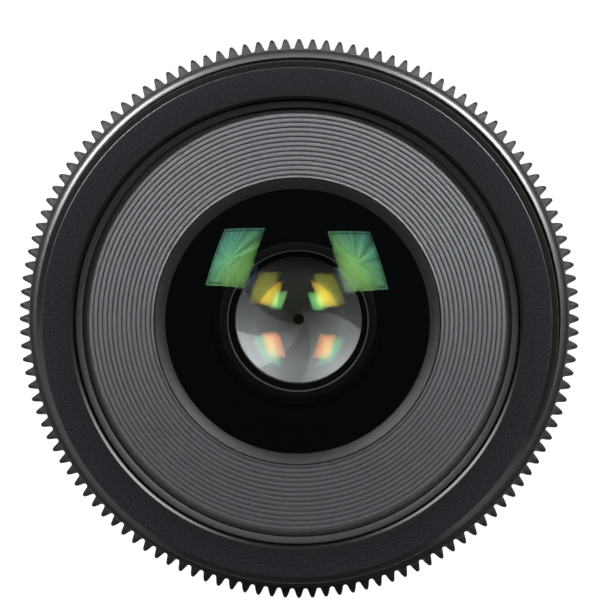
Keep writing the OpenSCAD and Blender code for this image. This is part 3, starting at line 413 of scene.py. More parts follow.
def turned(name, colour, roughness, line_scale=1800.0, line_depth=0.2):
    """Lathe-turned metal: fine lines round the axis."""
    n = Nodes(name)
    shader = n.add("ShaderNodeBsdfPrincipled", Metallic=1.0)
    parts = n.add("ShaderNodeSeparateXYZ")
    n.link(n.add("ShaderNodeTexCoord").outputs["Object"], parts.inputs["Vector"])
    lines = n.streaks(n.calc("ADD", n.axis_distance(), parts.outputs["Z"]), line_scale, LINE_DETAIL)
    tone = n.ramp(lines, [(place, scaled(colour, share)) for place, share in LINE_TONES])
    n.link(tone, shader.inputs["Base Color"])
    n.link(n.remap(lines, *(roughness + step for step in LINE_SHEEN)), shader.inputs["Roughness"])
    n.link(n.bump(lines, line_depth, LINE_HEIGHT), shader.inputs["Normal"])
    return n.surface(shader.outputs["BSDF"])


COAT_REACH = 24.0
COAT_EDGE_IOR = 1.35
MIRROR_ROUGHNESS = 0.004
CLEAR_GLASS = (0.985, 0.99, 0.985, 1.0)
# Colour of the dark sheet in the outer zone of the glass: painted shade of the black cell behind it
PAINTED_SHADE_BACKING = (0.0028, 0.0030, 0.0034, 1.0)
BLACK = grey(0.0)


def coating(name, strength, *stops, backed=None):
    """Coated glass surface: clear, with a mirror image whose tint shifts with the distance from the axis.

    A stop is (distance in millimetres, colour). Past a given distance from the axis the glass is no longer
    clear but a dark sheet: partly the black cell's own colour, partly painted shade of the cell behind it."""
    n = Nodes(name)
    out = n.calc("DIVIDE", n.axis_distance(), COAT_REACH * MM)
    mirror = n.add("ShaderNodeBsdfGlossy", Roughness=MIRROR_ROUGHNESS)
    n.link(n.ramp(out, [(r / COAT_REACH, colour) for r, colour in stops]), mirror.inputs["Color"])
    behind = n.add("ShaderNodeBsdfTransparent", Color=CLEAR_GLASS).outputs["BSDF"]
    if backed:
        shade = n.ramp(out, [(backed / COAT_REACH, BLACK), ((backed + 1) / COAT_REACH, grey(1.0))])
        behind = n.mixed(shade, behind, n.add("ShaderNodeBsdfDiffuse", Color=PAINTED_SHADE_BACKING).outputs["BSDF"])
    edge = n.add("ShaderNodeFresnel", IOR=COAT_EDGE_IOR)
    level = n.calc("MULTIPLY", edge.outputs["Fac"], strength, clamp=True)
    return n.surface(n.mixed(level, behind, mirror.outputs["BSDF"]))


def paint(name, colour):
    return coated(name, colour, 0.55, grain=1500.0, grain_depth=0.1, spread=0.06)


FINE = {"grain": 3200.0, "spread": 0.15}
# Inside 46.5 mm from the axis the matt coat's colour falls towards the axis: painted shade that darkens the
# front face towards its inner edge
MATT = coated("matt_black_coat", (0.0126, 0.0134, 0.0178), 0.5, grain_depth=0.8, spread=0.95,
              specular=0.23, fleck=1.0, fade=(40.5, 46.5, 0.4))
SATIN = coated("satin_black_anodised", (0.016, 0.0165, 0.019), 0.45, grain_depth=0.08, specular=1.0,
               gloss=1.0, **FINE)
TEETH = coated("cut_black_teeth", (0.020, 0.0205, 0.023), 0.48, grain_depth=0.08, specular=1.0, **FINE)
EDGE = coated("turned_black_edge", (0.006, 0.006, 0.007), 0.42, grain_depth=0.05, specular=0.7,
              gloss=0.8, **FINE)
LIP = coated("glossy_black_edge", (0.005, 0.005, 0.006), 0.42, grain_depth=0.05, specular=0.1,
             gloss=0.35, **FINE)
RIBBED = coated("ribbed_satin_black", (0.060, 0.061, 0.066), 0.42, grain=3000.0, grain_depth=0.02,
                spread=0.06, specular=1.0, ior=1.68)
DULL = coated("dull_lens_black", (0.0012, 0.0012, 0.0014), 0.6, grain_depth=0.2, spread=0.1, specular=0.02)
FUNNEL = coated("funnel_black", (0.019, 0.019, 0.020), 0.4, grain_depth=0.04, spread=0.1)
RING = coated("glossy_lens_black", (0.002, 0.002, 0.0022), 0.3, grain_depth=0.1, spread=0.2, specular=0.1)
ALLOY = turned("turned_alloy", (0.58, 0.59, 0.61), 0.34)
MOUNT_STEEL = turned("ground_steel", (0.36, 0.36, 0.355), 0.26, line_scale=2600.0)
SCREW_STEEL = turned("dark_steel", (0.16, 0.16, 0.165), 0.4)
BRASS = turned("plain_brass", (0.62, 0.46, 0.18), 0.32)
BLADE_STEEL = coated("blackened_blade_steel", (0.14, 0.14, 0.142), 0.35, grain=4000.0, grain_depth=0.03,
                     spread=0.06, metallic=1.0, fade=(1.5, 8.0, 0.4))
WHITE_PAINT = paint("white_scale_paint", (0.78, 0.78, 0.76))
AMBER_PAINT = paint("amber_scale_paint", (0.80, 0.42, 0.05))
# Beyond 15.2 mm from the axis the front coat is a dark sheet instead of clear glass: the black cell's own
# colour with painted shade
GREEN_COAT = coating("front_green_coat", 1.1, (10.0, (0.42, 0.70, 0.10)), (15.0, (0.32, 0.72, 0.22)),
                     (18.5, (0.20, 0.62, 0.36)), (22.5, (0.22, 0.45, 0.48)), backed=15.2)
OLIVE_COAT = coating("inner_olive_coat", 0.65, (6.0, (0.80, 0.66, 0.04)), (10.0, (0.62, 0.66, 0.08)),
                     (13.0, BLACK))
ROSE_COAT = coating("inner_rose_coat", 1.7, (5.0, (1.0, 0.24, 0.02)), (8.5, (1.0, 0.30, 0.03)),
                    (10.0, BLACK))
GOLD_COAT = coating("cement_gold_coat", 1.4, (3.5, (0.75, 0.90, 0.20)), (6.0, (1.0, 0.85, 0.12)),
                    (7.6, (1.0, 0.60, 0.02)))
LIME_COAT = coating("cement_lime_coat", 1.3, (3.5, (0.25, 0.90, 0.30)), (6.0, (0.40, 0.90, 0.25)))
MINT_COAT = coating("cement_mint_coat", 0.5, (4.0, (0.15, 0.90, 0.20)), (9.0, (0.15, 0.90, 0.25)),
                    (10.0, BLACK))
CLEAR_COAT = coating("clear_coat", 0.3, (6.0, (0.3, 0.4, 0.6)), (13.0, (0.25, 0.35, 0.6)))

SLOT_MATERIALS = {
    "matt_black": MATT, "satin_black": SATIN, "baffle_black": RIBBED, "lens_black": DULL,
    "alloy": ALLOY, "mount_steel": MOUNT_STEEL, "screw_steel": SCREW_STEEL, "brass": BRASS,
    "blade_steel": BLADE_STEEL, "glass": CLEAR_COAT,
}
for part in RECORD["subparts"]:
    node = frame["nodes"][part["node"]]
    node.data.materials.clear()
    node.data.materials.append(SLOT_MATERIALS[part["material_slot"]])


# Front ring with its filter thread
E1_R = radius("front_element")
BAFFLE_R1 = radius("front_baffle")
BARREL_R1 = radius("front_cell") + 2 * FIT
LIP_R = BAFFLE_R1 + FIT
LIP_Z = BAFFLE_Z0 + 5.9
LEDGE_R = 33.4
LEDGE_T = 2.0
LEDGE_Z = BAFFLE_Z0 - LEDGE_T
ROOF_Z = LEDGE_Z - 0.5
FRONT_WALL = 2.2
FRONT_BEVEL = 0.3
FRONT_CHAMFER = 1.15
CHAMFER_ROUND = 0.25
FACE_ROUND = 0.3
FACE_MARGIN = 0.4
INNER_W = 0.55
INNER_FALL = 0.15
INNER_MARGIN = 0.3
INNER_ROUND = 0.1
INNER_FOOT_ROUND = 0.06
THREAD_PITCH = 0.75
THREAD_DEPTH = 0.4
THREAD_START = 0.1
THREAD_CREST = 0.15
THREAD_FLANK = 0.25
THREAD_ROOT = 0.1
THREAD_ROUND = 0.04
BEAD_R0, BEAD_R1 = 39.05, 40.4
BEAD_FALL = 0.24
BEAD_GROOVE = 0.5
BEAD_MARGIN = 0.1
EDGE_MARGIN = 0.12
SLACK = 0.01


def thread_profile():
    """Zigzag of the filter thread from the front edge down to the plain lip."""
    points = []
    z = FRONT_Z1 - INNER_FALL - THREAD_START
    while z - THREAD_PITCH > LIP_Z:
        crest_end = z - THREAD_CREST
        root_start = crest_end - THREAD_FLANK
        points += [
            (THREAD_R, z, THREAD_ROUND), (THREAD_R, crest_end, THREAD_ROUND),
            (THREAD_R + THREAD_DEPTH, root_start, THREAD_ROUND),
            (THREAD_R + THREAD_DEPTH, root_start - THREAD_ROOT, THREAD_ROUND),
        ]
        z -= THREAD_PITCH
    return points + [(THREAD_R, z, THREAD_ROUND)]


front_profile = fillet([
    (LEDGE_R, LEDGE_Z), (BARREL_R1, LEDGE_Z), (BARREL_R1, FRONT_Z0), (BARREL_R1 + FRONT_WALL, FRONT_Z0),
    (BARREL_R1 + FRONT_WALL, ROOF_Z), (FRONT_R - FRONT_WALL, ROOF_Z), (FRONT_R - FRONT_WALL, FRONT_Z0),
    (FRONT_R - FRONT_BEVEL, FRONT_Z0), (FRONT_R, FRONT_Z0 + FRONT_BEVEL),
    (FRONT_R, FRONT_Z1 - FRONT_CHAMFER, CHAMFER_ROUND), (FRONT_R - FRONT_CHAMFER, FRONT_Z1, FACE_ROUND),
    (FRONT_R - FRONT_CHAMFER - FACE_MARGIN, FRONT_Z1, 0), (THREAD_R + INNER_W + INNER_MARGIN, FRONT_Z1, 0),
    (THREAD_R + INNER_W, FRONT_Z1, INNER_ROUND), (THREAD_R, FRONT_Z1 - INNER_FALL, INNER_FOOT_ROUND),
    *thread_profile(), (THREAD_R, LIP_Z - BEAD_GROOVE), (BEAD_R1, LIP_Z - BEAD_GROOVE),
    (BEAD_R1, LIP_Z + BEAD_FALL / 2), (BEAD_R0, LIP_Z - BEAD_FALL / 2), (BEAD_R0, LIP_Z - BEAD_GROOVE),
    (LIP_R, LIP_Z - BEAD_GROOVE), (LIP_R, BAFFLE_Z0), (LEDGE_R, BAFFLE_Z0),
])


def bare_edge(r, z):
    """The turned outside of the front ring and its chamfer."""
    return r > FRONT_R - FRONT_CHAMFER - EDGE_MARGIN


def on_lip(r, z):
    """The chamfer inside the front ring and its thread."""
    return THREAD_R - SLACK < r < THREAD_R + INNER_W + 2 * SLACK and z > LIP_Z


def on_bead(r, z):
    return BEAD_R0 - BEAD_MARGIN < r < BEAD_R1 + SLACK and z > LIP_Z - BEAD_FALL


front_ring = lathe("front_ring_dress", front_profile, MATT, FINE_SEGMENTS,
                   [(EDGE, bare_edge), (LIP, on_lip), (FUNNEL, on_bead)])
seat(front_ring, "root", "matt_black", "front_ring")

# Ribbed baffle
BAFFLE_R0 = E1_R + 0.2
BAFFLE_RISE = 3.7
BAFFLE_FALL = 1.6
BAFFLE_WEB = 0.8
BAFFLE_FOOT_R = LEDGE_R + 0.6
GROOVE_START = 0.68
GROOVE_PITCH = 0.866
GROOVE_HALF = 0.14
GROOVE_DEPTH = 0.32
GROOVE_ROUND = 0.02
RIB_TILT = 0.08
PAINTED_SHADE_RIM = 0.7


def baffle_top(r):
    return BAFFLE_Z0 + BAFFLE_RISE - BAFFLE_FALL * (BAFFLE_R1 - r) / (BAFFLE_R1 - BAFFLE_R0)


BAFFLE_UNDER_Z = baffle_top(BAFFLE_R0) - BAFFLE_WEB
baffle_points = [
    (BAFFLE_R1, BAFFLE_Z0), (BAFFLE_FOOT_R, BAFFLE_Z0), (BAFFLE_FOOT_R, BAFFLE_UNDER_Z),
    (BAFFLE_R0, BAFFLE_UNDER_Z), (BAFFLE_R0, baffle_top(BAFFLE_R0) - GROOVE_DEPTH, GROOVE_ROUND),
    (BAFFLE_R0 + GROOVE_HALF, baffle_top(BAFFLE_R0) + RIB_TILT, GROOVE_ROUND),
]
groove_r = BAFFLE_R0 + GROOVE_START
while groove_r < BAFFLE_R1 - 2 * GROOVE_HALF:
    baffle_points += [
        (groove_r - GROOVE_HALF, baffle_top(groove_r) - RIB_TILT, GROOVE_ROUND),
        (groove_r, baffle_top(groove_r) - GROOVE_DEPTH, GROOVE_ROUND),
        (groove_r + GROOVE_HALF, baffle_top(groove_r) + RIB_TILT, GROOVE_ROUND),
    ]
    groove_r += GROOVE_PITCH
baffle_points.append((BAFFLE_R1, baffle_top(BAFFLE_R1) - RIB_TILT))
# The outermost rim of the baffle gets the darker funnel black: painted shade from the front ring's lip
baffle = lathe("front_baffle_dress", fillet(baffle_points, default=0.05, steps=3), RIBBED, FINE_SEGMENTS,
               [(FUNNEL, lambda r, z: r > BAFFLE_R1 - PAINTED_SHADE_RIM)])
seat(baffle, "root", "baffle_black", "front_baffle")

# Funnel ring that holds the front element
FUNNEL_R = E1_R - 1.8
FUNNEL_SKIRT = 2.4
FUNNEL_EDGE = 0.4
FUNNEL_TOP_Z = BAFFLE_UNDER_Z - 0.3
CELL_THREAD_R = E1_R + 1.65
E1_FRONT = 66.0
E1_BACK = 34.0
E1_T = 2.4


def e1_surface(r):
    return E1_Z - float(sphere_depth(E1_FRONT, r))


SKIRT_Z = e1_surface(E1_R) - FUNNEL_SKIRT
E1_RIM_Z = e1_surface(E1_R - 2 * FIT) + FIT
funnel_profile = fillet([
    (FUNNEL_R, e1_surface(FUNNEL_R) + FIT), (E1_R - 2 * FIT, E1_RIM_Z), (E1_R + FIT, E1_RIM_Z),
    (E1_R + FIT, SKIRT_Z), (CELL_THREAD_R - FIT, SKIRT_Z), (CELL_THREAD_R - FIT, FUNNEL_TOP_Z),
    (BAFFLE_R0 - FIT, FUNNEL_TOP_Z), (BAFFLE_R0 - FIT, baffle_top(BAFFLE_R0) - GROOVE_DEPTH),
    (BAFFLE_R0 - GROOVE_HALF, baffle_top(BAFFLE_R0) - RIB_TILT),
    (FUNNEL_R, e1_surface(FUNNEL_R) + FUNNEL_EDGE),
], default=0.04)
funnel = lathe("front_retainer_dress", funnel_profile, FUNNEL, FINE_SEGMENTS)
seat(funnel, "root", "lens_black", "front_retainer")

# Front lenses with their coatings and blackened rims
E2_R = radius("second_element")
E2_FRONT = 60.0
E2_BACK = 25.5
e1 = lens("front_element_dress", E1_R, E1_Z, E1_FRONT, E1_Z - E1_T, -E1_BACK, E1_SEAT_Z,
          [GREEN_COAT, OLIVE_COAT, DULL])
seat(see_through(e1), "root", "glass", "front_element")
e2 = lens("second_element_dress", E2_R, E2_Z, E2_FRONT, E2_BACK_Z, E2_BACK, None,
          [CLEAR_COAT, ROSE_COAT, DULL])
seat(see_through(e2), "root", "glass", "second_element")

# Surfaces between cemented glasses: radius, height of the vertex, curve and coat
CEMENT_RINGS = 24
CEMENT_HOLE_R = 0.05
CEMENTS = {
    "front": (7.8, E2_Z - 1.0, 28.0, GOLD_COAT),
    "middle": (7.8, E2_Z - 2.4, 20.0, LIME_COAT),
    "back": (10.0, E2_BACK_Z + 1.2, -31.0, MINT_COAT),
}


def cemented_face(name, rim_r, vertex_z, curve, material):
    """Open surface inside a lens. A positive curve bulges to the front."""
    angles = even_angles(SEGMENTS)
    loops = []
    for r in np.linspace(CEMENT_HOLE_R, rim_r, CEMENT_RINGS):
        depth = float(sphere_depth(abs(curve), r))
        loops.append(circle(angles, r, vertex_z - math.copysign(depth, curve)))
    faces = loops_to_faces(CEMENT_RINGS, SEGMENTS, False)
    seat(see_through(finish_mesh(name, np.concatenate(loops), faces, [material])), "root", "glass")


for label, cement in CEMENTS.items():
    cemented_face(f"second_element_{label}_cement", *cement)

# Gears
GEAR_MODULE = 0.8
PRESSURE_ANGLE = math.radians(20)
DEDENDUM = 1.25
BACKLASH = 0.1
TOOTH_STEPS = 5
TIP_CHAMFER = 0.6
TIP_STEP = 0.1
TIP_SHARE = 0.75
TIP_ROUND = 0.12
TIP_WIDENING = TIP_ROUND / 4
TOOTH_LEAN = 0.07
VALLEY_ROUND = 0.22
VALLEY_SHARES = (0.35, 0.75)


def involute(angle):
    return math.tan(angle) - angle


def gear_loop(teeth, tip_cut, z, lean=0.0):
    """Outline of a gear at one height, with round valleys, tips cut back and teeth that lean back."""
    pitch_r = GEAR_MODULE * teeth / 2
    base_r = pitch_r * math.cos(PRESSURE_ANGLE)
    root_r = pitch_r - DEDENDUM * GEAR_MODULE
    tip_r = pitch_r + GEAR_MODULE - tip_cut
    pitch_half = math.pi / 2 / teeth - BACKLASH / 2 / pitch_r
    valley = math.pi / teeth
    side = []
    for k in range(TOOTH_STEPS + 1):
        r = root_r + VALLEY_ROUND + (tip_r - root_r - VALLEY_ROUND) * k / TOOTH_STEPS
        side.append((r, pitch_half + involute(PRESSURE_ANGLE) - involute(math.acos(base_r / r))))
    crown_r, crown_half = side.pop()
    side += [(crown_r - TIP_ROUND, crown_half + TIP_WIDENING / tip_r), (crown_r, crown_half * TIP_SHARE)]
    foot = side[0][1]
    for share in VALLEY_SHARES:
        bend = root_r + VALLEY_ROUND * (1 - math.sqrt(1 - (1 - share) ** 2))
        side.insert(0, (bend, foot + (valley - foot) * share))
    points = []
    for i in range(teeth):
        middle = 2 * math.pi * i / teeth
        points.append((root_r, middle - valley))
        points += [(r, middle - half) for r, half in side]
        points += [(r, middle + half) for r, half in reversed(side)]
    return np.array([(r * math.cos(a), r * math.sin(a), z - lean * (r - root_r)) for r, a in points])


def same_angles(loop, r, z):
    """Round loop with one point under each point of another loop."""
    return circle(np.arctan2(loop[:, 1], loop[:, 0]), r, z)


def toothed_band(teeth, z0, z1):
    """Loops of a gear's teeth from the back face to the front face."""
    return [
        gear_loop(teeth, TIP_CHAMFER, z0),
        gear_loop(teeth, 0, z0 + TIP_CHAMFER),
        gear_loop(teeth, 0, z1 - TIP_CHAMFER, TOOTH_LEAN),
        gear_loop(teeth, TIP_CHAMFER / 2, z1 - TIP_STEP, TOOTH_LEAN),
        gear_loop(teeth, TIP_CHAMFER, z1, TOOTH_LEAN),
    ]


FOCUS_TEETH = 128
FOCUS_TEETH_Z1 = GEAR_Z0 + 9.0
FOCUS_LAND_R = 46.5
FOCUS_SEAT_R = FOCUS_LAND_R + FIT
SHOULDER_R = 49.95
CROWN_R = 48.55
CROWN_OUTER = 3.3
CROWN_INNER = 0.25
CROWN_STEPS = 12
RECESS = 1.2
RECESS_EDGE = 0.1
RECESS_SLOPE = 0.15
shoulder = [(SHOULDER_R, FOCUS_TEETH_Z1)]
for k in range(CROWN_STEPS + 1):
    reach = (SHOULDER_R - CROWN_R) * (1 - k / CROWN_STEPS)
    shoulder.append((CROWN_R + reach, GEAR_Z1 - float(sphere_depth(CROWN_OUTER, reach + CROWN_INNER))))
recess = [
    (CROWN_R - RECESS_EDGE, GEAR_Z1 - RECESS_EDGE), (CROWN_R - RECESS_SLOPE, GEAR_Z1 - RECESS),
    (FOCUS_SEAT_R, GEAR_Z1 - RECESS),
]
full = gear_loop(FOCUS_TEETH, 0, 0)
toothed = [same_angles(full, FOCUS_SEAT_R, GEAR_Z0), *toothed_band(FOCUS_TEETH, GEAR_Z0, FOCUS_TEETH_Z1)]
smooth = [same_angles(full, r, z) for r, z in shoulder + recess]
focus_gear = shaped_ring("focus_gear_dress", toothed + smooth, (TEETH, len(toothed)),
                         (SATIN, len(shoulder)), (MATT, len(recess)))
seat(focus_gear, "focus_drive", "satin_black", "focus_gear")

IRIS_TEETH = 116
IRIS_LAND_R = 43.0
IRIS_SEAT_R = IRIS_LAND_R + FIT
iris_full = gear_loop(IRIS_TEETH, 0, 0)
iris_loops = [
    same_angles(iris_full, IRIS_SEAT_R, IRIS_GEAR_Z0),
    *toothed_band(IRIS_TEETH, IRIS_GEAR_Z0, IRIS_GEAR_Z1),
    same_angles(iris_full, IRIS_SEAT_R, IRIS_GEAR_Z1),
]
iris_gear = shaped_ring("iris_gear_dress", iris_loops, (TEETH, len(iris_loops)))
seat(iris_gear, "iris_drive", "satin_black", "iris_gear")

# Focus ring with its fluted grip
RING_BEVEL = 0.4
RING_ROUND = 0.15
SCALE_ROUND = 0.2
SCALE_L = 15
SCALE_Z0, SCALE_Z1 = FOCUS_Z0 + RING_BEVEL, FOCUS_Z0 + SCALE_L
SCALE_R0, SCALE_R1 = 45.5, 47.5
NECK_L = 1.5
NECK_R = SCALE_R1 - 0.8
GRIP_R = 48.8
GRIP_Z0, GRIP_Z1 = SCALE_Z1 + NECK_L, GEAR_Z0 - NECK_L
GRIP_FLUTES = 60
FLUTE_DEPTH = 0.6
FLUTE_R = 1.4
FLUTE_STEPS = 14
COLLAR_R = 49.3
LAND_BEVEL = 0.3
RELIEF_R = 42.5
RELIEF_L = 5.1
CAM_R1 = 38.49


def fluted(r, z):
    """Loop of the grip, cut by round flutes where it is wide enough to meet them."""
    angles = even_angles(GRIP_FLUTES * FLUTE_STEPS)
    pitch = 2 * math.pi / GRIP_FLUTES
    offset = (angles + pitch / 2) % pitch - pitch / 2
    centre = GRIP_R + FLUTE_R - FLUTE_DEPTH
    across = centre * np.sin(offset)
    cut = centre * np.cos(offset) - np.sqrt(np.maximum(FLUTE_R ** 2 - across ** 2, 0))
    return circle(angles, np.minimum(r, np.where(np.abs(across) < FLUTE_R, cut, r)), z)


focus_profile = fillet([
    (CAM_R1, FOCUS_Z0), (SCALE_R0 - RING_BEVEL, FOCUS_Z0), (SCALE_R0, SCALE_Z0, SCALE_ROUND),
    (SCALE_R1, SCALE_Z1, SCALE_ROUND), (NECK_R, SCALE_Z1 + RING_BEVEL), (NECK_R, GRIP_Z0 - RING_BEVEL),
    (GRIP_R - RING_BEVEL, GRIP_Z0, RING_ROUND), (GRIP_R, GRIP_Z0 + RING_BEVEL, RING_ROUND),
    (GRIP_R, GRIP_Z1 - RING_BEVEL, RING_ROUND), (GRIP_R - RING_BEVEL, GRIP_Z1, RING_ROUND),
    (COLLAR_R, GRIP_Z1 + RING_BEVEL, RING_ROUND), (COLLAR_R, GEAR_Z0), (FOCUS_LAND_R, GEAR_Z0),
    (FOCUS_LAND_R, FOCUS_Z1 - LAND_BEVEL), (FOCUS_LAND_R - LAND_BEVEL, FOCUS_Z1), (RELIEF_R, FOCUS_Z1),
    (RELIEF_R, FOCUS_Z1 - RELIEF_L), (CAM_R1, FOCUS_Z1 - RELIEF_L),
])
focus_loops = [fluted(r, z) for r, z in focus_profile]
focus_ring = shaped_ring("focus_ring_dress", focus_loops, (MATT, len(focus_loops)))
seat(focus_ring, "focus_drive", "matt_black", "focus_ring")

# Index ring and iris ring
INDEX_R0, INDEX_R = 43.6, 46.2
index_profile = fillet([
    (INDEX_R0, INDEX_Z0), (INDEX_R - RING_BEVEL, INDEX_Z0), (INDEX_R, INDEX_Z0 + RING_BEVEL, RING_ROUND),
    (INDEX_R, INDEX_Z1 - RING_BEVEL, RING_ROUND), (INDEX_R - RING_BEVEL, INDEX_Z1), (INDEX_R0, INDEX_Z1),
])
seat(lathe("index_ring_dress", index_profile, MATT), "root", "matt_black", "index_ring")

IRIS_R0, IRIS_R = 37.04, 45.5
IRIS_SLOPE = 1.0
iris_profile = fillet([
    (IRIS_R0, IRIS_Z0), (IRIS_LAND_R - IRIS_SLOPE, IRIS_Z0, SCALE_ROUND), (IRIS_LAND_R, IRIS_GEAR_Z0),
    (IRIS_LAND_R, IRIS_GEAR_Z1), (IRIS_R - IRIS_SLOPE, IRIS_GEAR_Z1, SCALE_ROUND),
    (IRIS_R, IRIS_GEAR_Z1 + IRIS_SLOPE, SCALE_ROUND), (IRIS_R, IRIS_Z1 - RING_BEVEL, RING_ROUND),
    (IRIS_R - RING_BEVEL, IRIS_Z1), (IRIS_R0, IRIS_Z1),
])
seat(lathe("iris_ring_dress", iris_profile, MATT), "iris_drive", "matt_black", "iris_ring")

# Front cell and the ring on the second element, seen through the front glass
OPENING_R = 11.7
E2_SEAT_R = E2_R + FIT
RING2_R0, RING2_R1 = E2_R - 0.6, E2_R + 1.2
RING2_BEVEL_R = RING2_R0 + 0.22
RING2_BEVEL_FALL = 0.15
RING2_PAINTED_GLINT_Z = RING2_Z1 - 0.23
HUB_R = E2_R + 2
HUB_Z = (RING2_Z0 + RING2_Z1) / 2
CELL_R = 32.95
CELL_FLANGE_R = 35.45
CELL_FLANGE_Z = LEDGE_Z - 2
CELL_RIM_R = 33.2
CELL_RIM_Z = BAFFLE_Z0 - 0.3
CONE_R = E1_R - 6.0
E2_UNDER = 2 * FIT


def e2_back(r):
    return E2_BACK_Z + float(sphere_depth(E2_BACK, r))


cell_profile = fillet([
    (OPENING_R, CELL_Z0), (CELL_R, CELL_Z0), (CELL_R, CELL_FLANGE_Z), (CELL_FLANGE_R, CELL_FLANGE_Z),
    (CELL_FLANGE_R, LEDGE_Z), (CELL_RIM_R, LEDGE_Z), (CELL_RIM_R, CELL_RIM_Z), (CELL_THREAD_R, CELL_RIM_Z),
    (CELL_THREAD_R, SKIRT_Z - 2 * FIT), (E1_R + FIT, SKIRT_Z - 2 * FIT), (E1_R + FIT, E1_SEAT_Z),
    (CONE_R, E1_SEAT_Z), (HUB_R, HUB_Z), (RING2_R1, HUB_Z), (RING2_R1, RING2_Z0 - E2_UNDER),
    (E2_SEAT_R, RING2_Z0 - E2_UNDER), (E2_SEAT_R, e2_back(E2_SEAT_R) - E2_UNDER),
    (OPENING_R, e2_back(OPENING_R) - FIT),
], default=0.06)
front_cell = lathe("front_cell_dress", cell_profile, DULL, FINE_SEGMENTS,
                   [(RING, lambda r, z: r < E2_SEAT_R and z > CELL_Z0 + 2 * FIT)])
seat(front_cell, "root", "lens_black", "front_cell")
ring2_profile = fillet([
    (RING2_R0, RING2_Z0), (RING2_R1 - FIT, RING2_Z0), (RING2_R1 - FIT, RING2_Z1),
    (RING2_BEVEL_R, RING2_Z1), (RING2_R0, RING2_Z1 - RING2_BEVEL_FALL),
], default=0.06)
# The ring's inner bevel gets the lighter, glossier ribbed black: a painted highlight for its glint
ring2 = lathe("second_retainer_dress", ring2_profile, RING, FINE_SEGMENTS,
              [(RIBBED, lambda r, z: r < RING2_BEVEL_R and z > RING2_PAINTED_GLINT_Z)])
seat(ring2, "root", "baffle_black", "second_retainer")

# Iris blades, each rising along its length so that they lie over one another in a swirl
JOINTS = {j["name"]: j for j in RECORD["behaviour"]["joints"]}
PIVOT_R = JOINTS["blade_1_swing"]["pos_m"][0] / MM
CLOSE_ANGLE = math.radians(-JOINTS["blade_1_swing"]["range_deg"][0])
BLADE_COUNT = 9
BLADE_W = 7.0
BLADE_T = 0.04
BLADE_R0 = PIVOT_R - BLADE_W - 1.5
BLADE_SPAN = math.radians(112)
BLADE_ROOT = math.radians(-4)
BLADE_MIDDLE_Z = CELL_Z0 - 1.98
BLADE_RISE = 0.6
BLADE_BOWL = 0.15
BLADE_TILT = 0.09
BLADE_SHOWS = math.radians(24.6)
BLADE_POINTS = 7
BLADE_PLACES = np.concatenate([np.linspace(0, 0.86, 50), np.linspace(0.87, 1, 20)])
TIP_LEAST = 0.0004


def swept(name, sections, material):
    """Solid through a row of sections with the same number of points, closed at both ends."""
    size = len(sections[0])
    faces = loops_to_faces(len(sections), size, False)
    last = (len(sections) - 1) * size
    faces += [tuple(range(size)), tuple(range(last + size - 1, last - 1, -1))]
    return faced_out(finish_mesh(name, np.concatenate(sections), faces, [material]))


def blade_section(t):
    """Points round the blade's cross-section at t along it, from the root at 0 to the tip at 1."""
    tip = BLADE_W / 2 / (BLADE_R0 + BLADE_W / 2)
    angle = BLADE_ROOT + (BLADE_SPAN + tip - BLADE_ROOT) * t
    past = max(0.0, (angle - BLADE_SPAN) / tip)
    half_w = BLADE_W / 2 * math.sqrt(max(1 - past * past, TIP_LEAST))
    radii = BLADE_R0 + BLADE_W / 2 + half_w * np.linspace(-1, 1, BLADE_POINTS)
    z = BLADE_MIDDLE_Z - BLADE_RISE * (angle - BLADE_SPAN / 2)
    upper = [(r * math.cos(angle), r * math.sin(angle), z + BLADE_T / 2) for r in radii]
    lower = [(r * math.cos(angle), r * math.sin(angle), z - BLADE_T / 2) for r in radii[::-1]]
    return np.array(upper + lower)


def bowl_normals(points, facing):
    """Normals of a blade that leans in towards the axis from one side, above and below by turns."""
    tilt = BLADE_TILT * np.array([math.cos(facing), math.sin(facing)])
    lean = BLADE_BOWL * points[:, :2] / OPENING_R + tilt
    normals = np.concatenate([-lean, np.ones((len(points), 1))], 1)
    normals /= np.linalg.norm(normals, axis=1)[:, None]
    below = np.arange(len(points)) % (2 * BLADE_POINTS) >= BLADE_POINTS
    normals[below] *= -1
    return normals


def turned_by(points, angle, pivot):
    turn = np.array([[math.cos(angle), -math.sin(angle)], [math.sin(angle), math.cos(angle)]])
    out = np.array(points)
    out[:, :2] = (out[:, :2] - pivot) @ turn.T + pivot
    return out


for i in range(BLADE_COUNT):
    around = 2 * math.pi * i / BLADE_COUNT
    sections = []
    for t in BLADE_PLACES:
        shut = turned_by(blade_section(t), CLOSE_ANGLE, (PIVOT_R, 0))
        sections.append(turned_by(shut, around, (0, 0)))
    body = f"blade_{i + 1}"
    blade = swept(f"{body}_dress", sections, BLADE_STEEL)
    normals = bowl_normals(np.concatenate(sections), BLADE_SHOWS + around)
    blade.data.normals_split_custom_set_from_vertices(normals.tolist())
    seat(blade, body, "blade_steel", body)

# Painted scales: plain numbers and lines wrapped round the rings
MARK_LIFT = 0.03
TEXT_SCALE = 1.4
TEXT_STEPS = 4


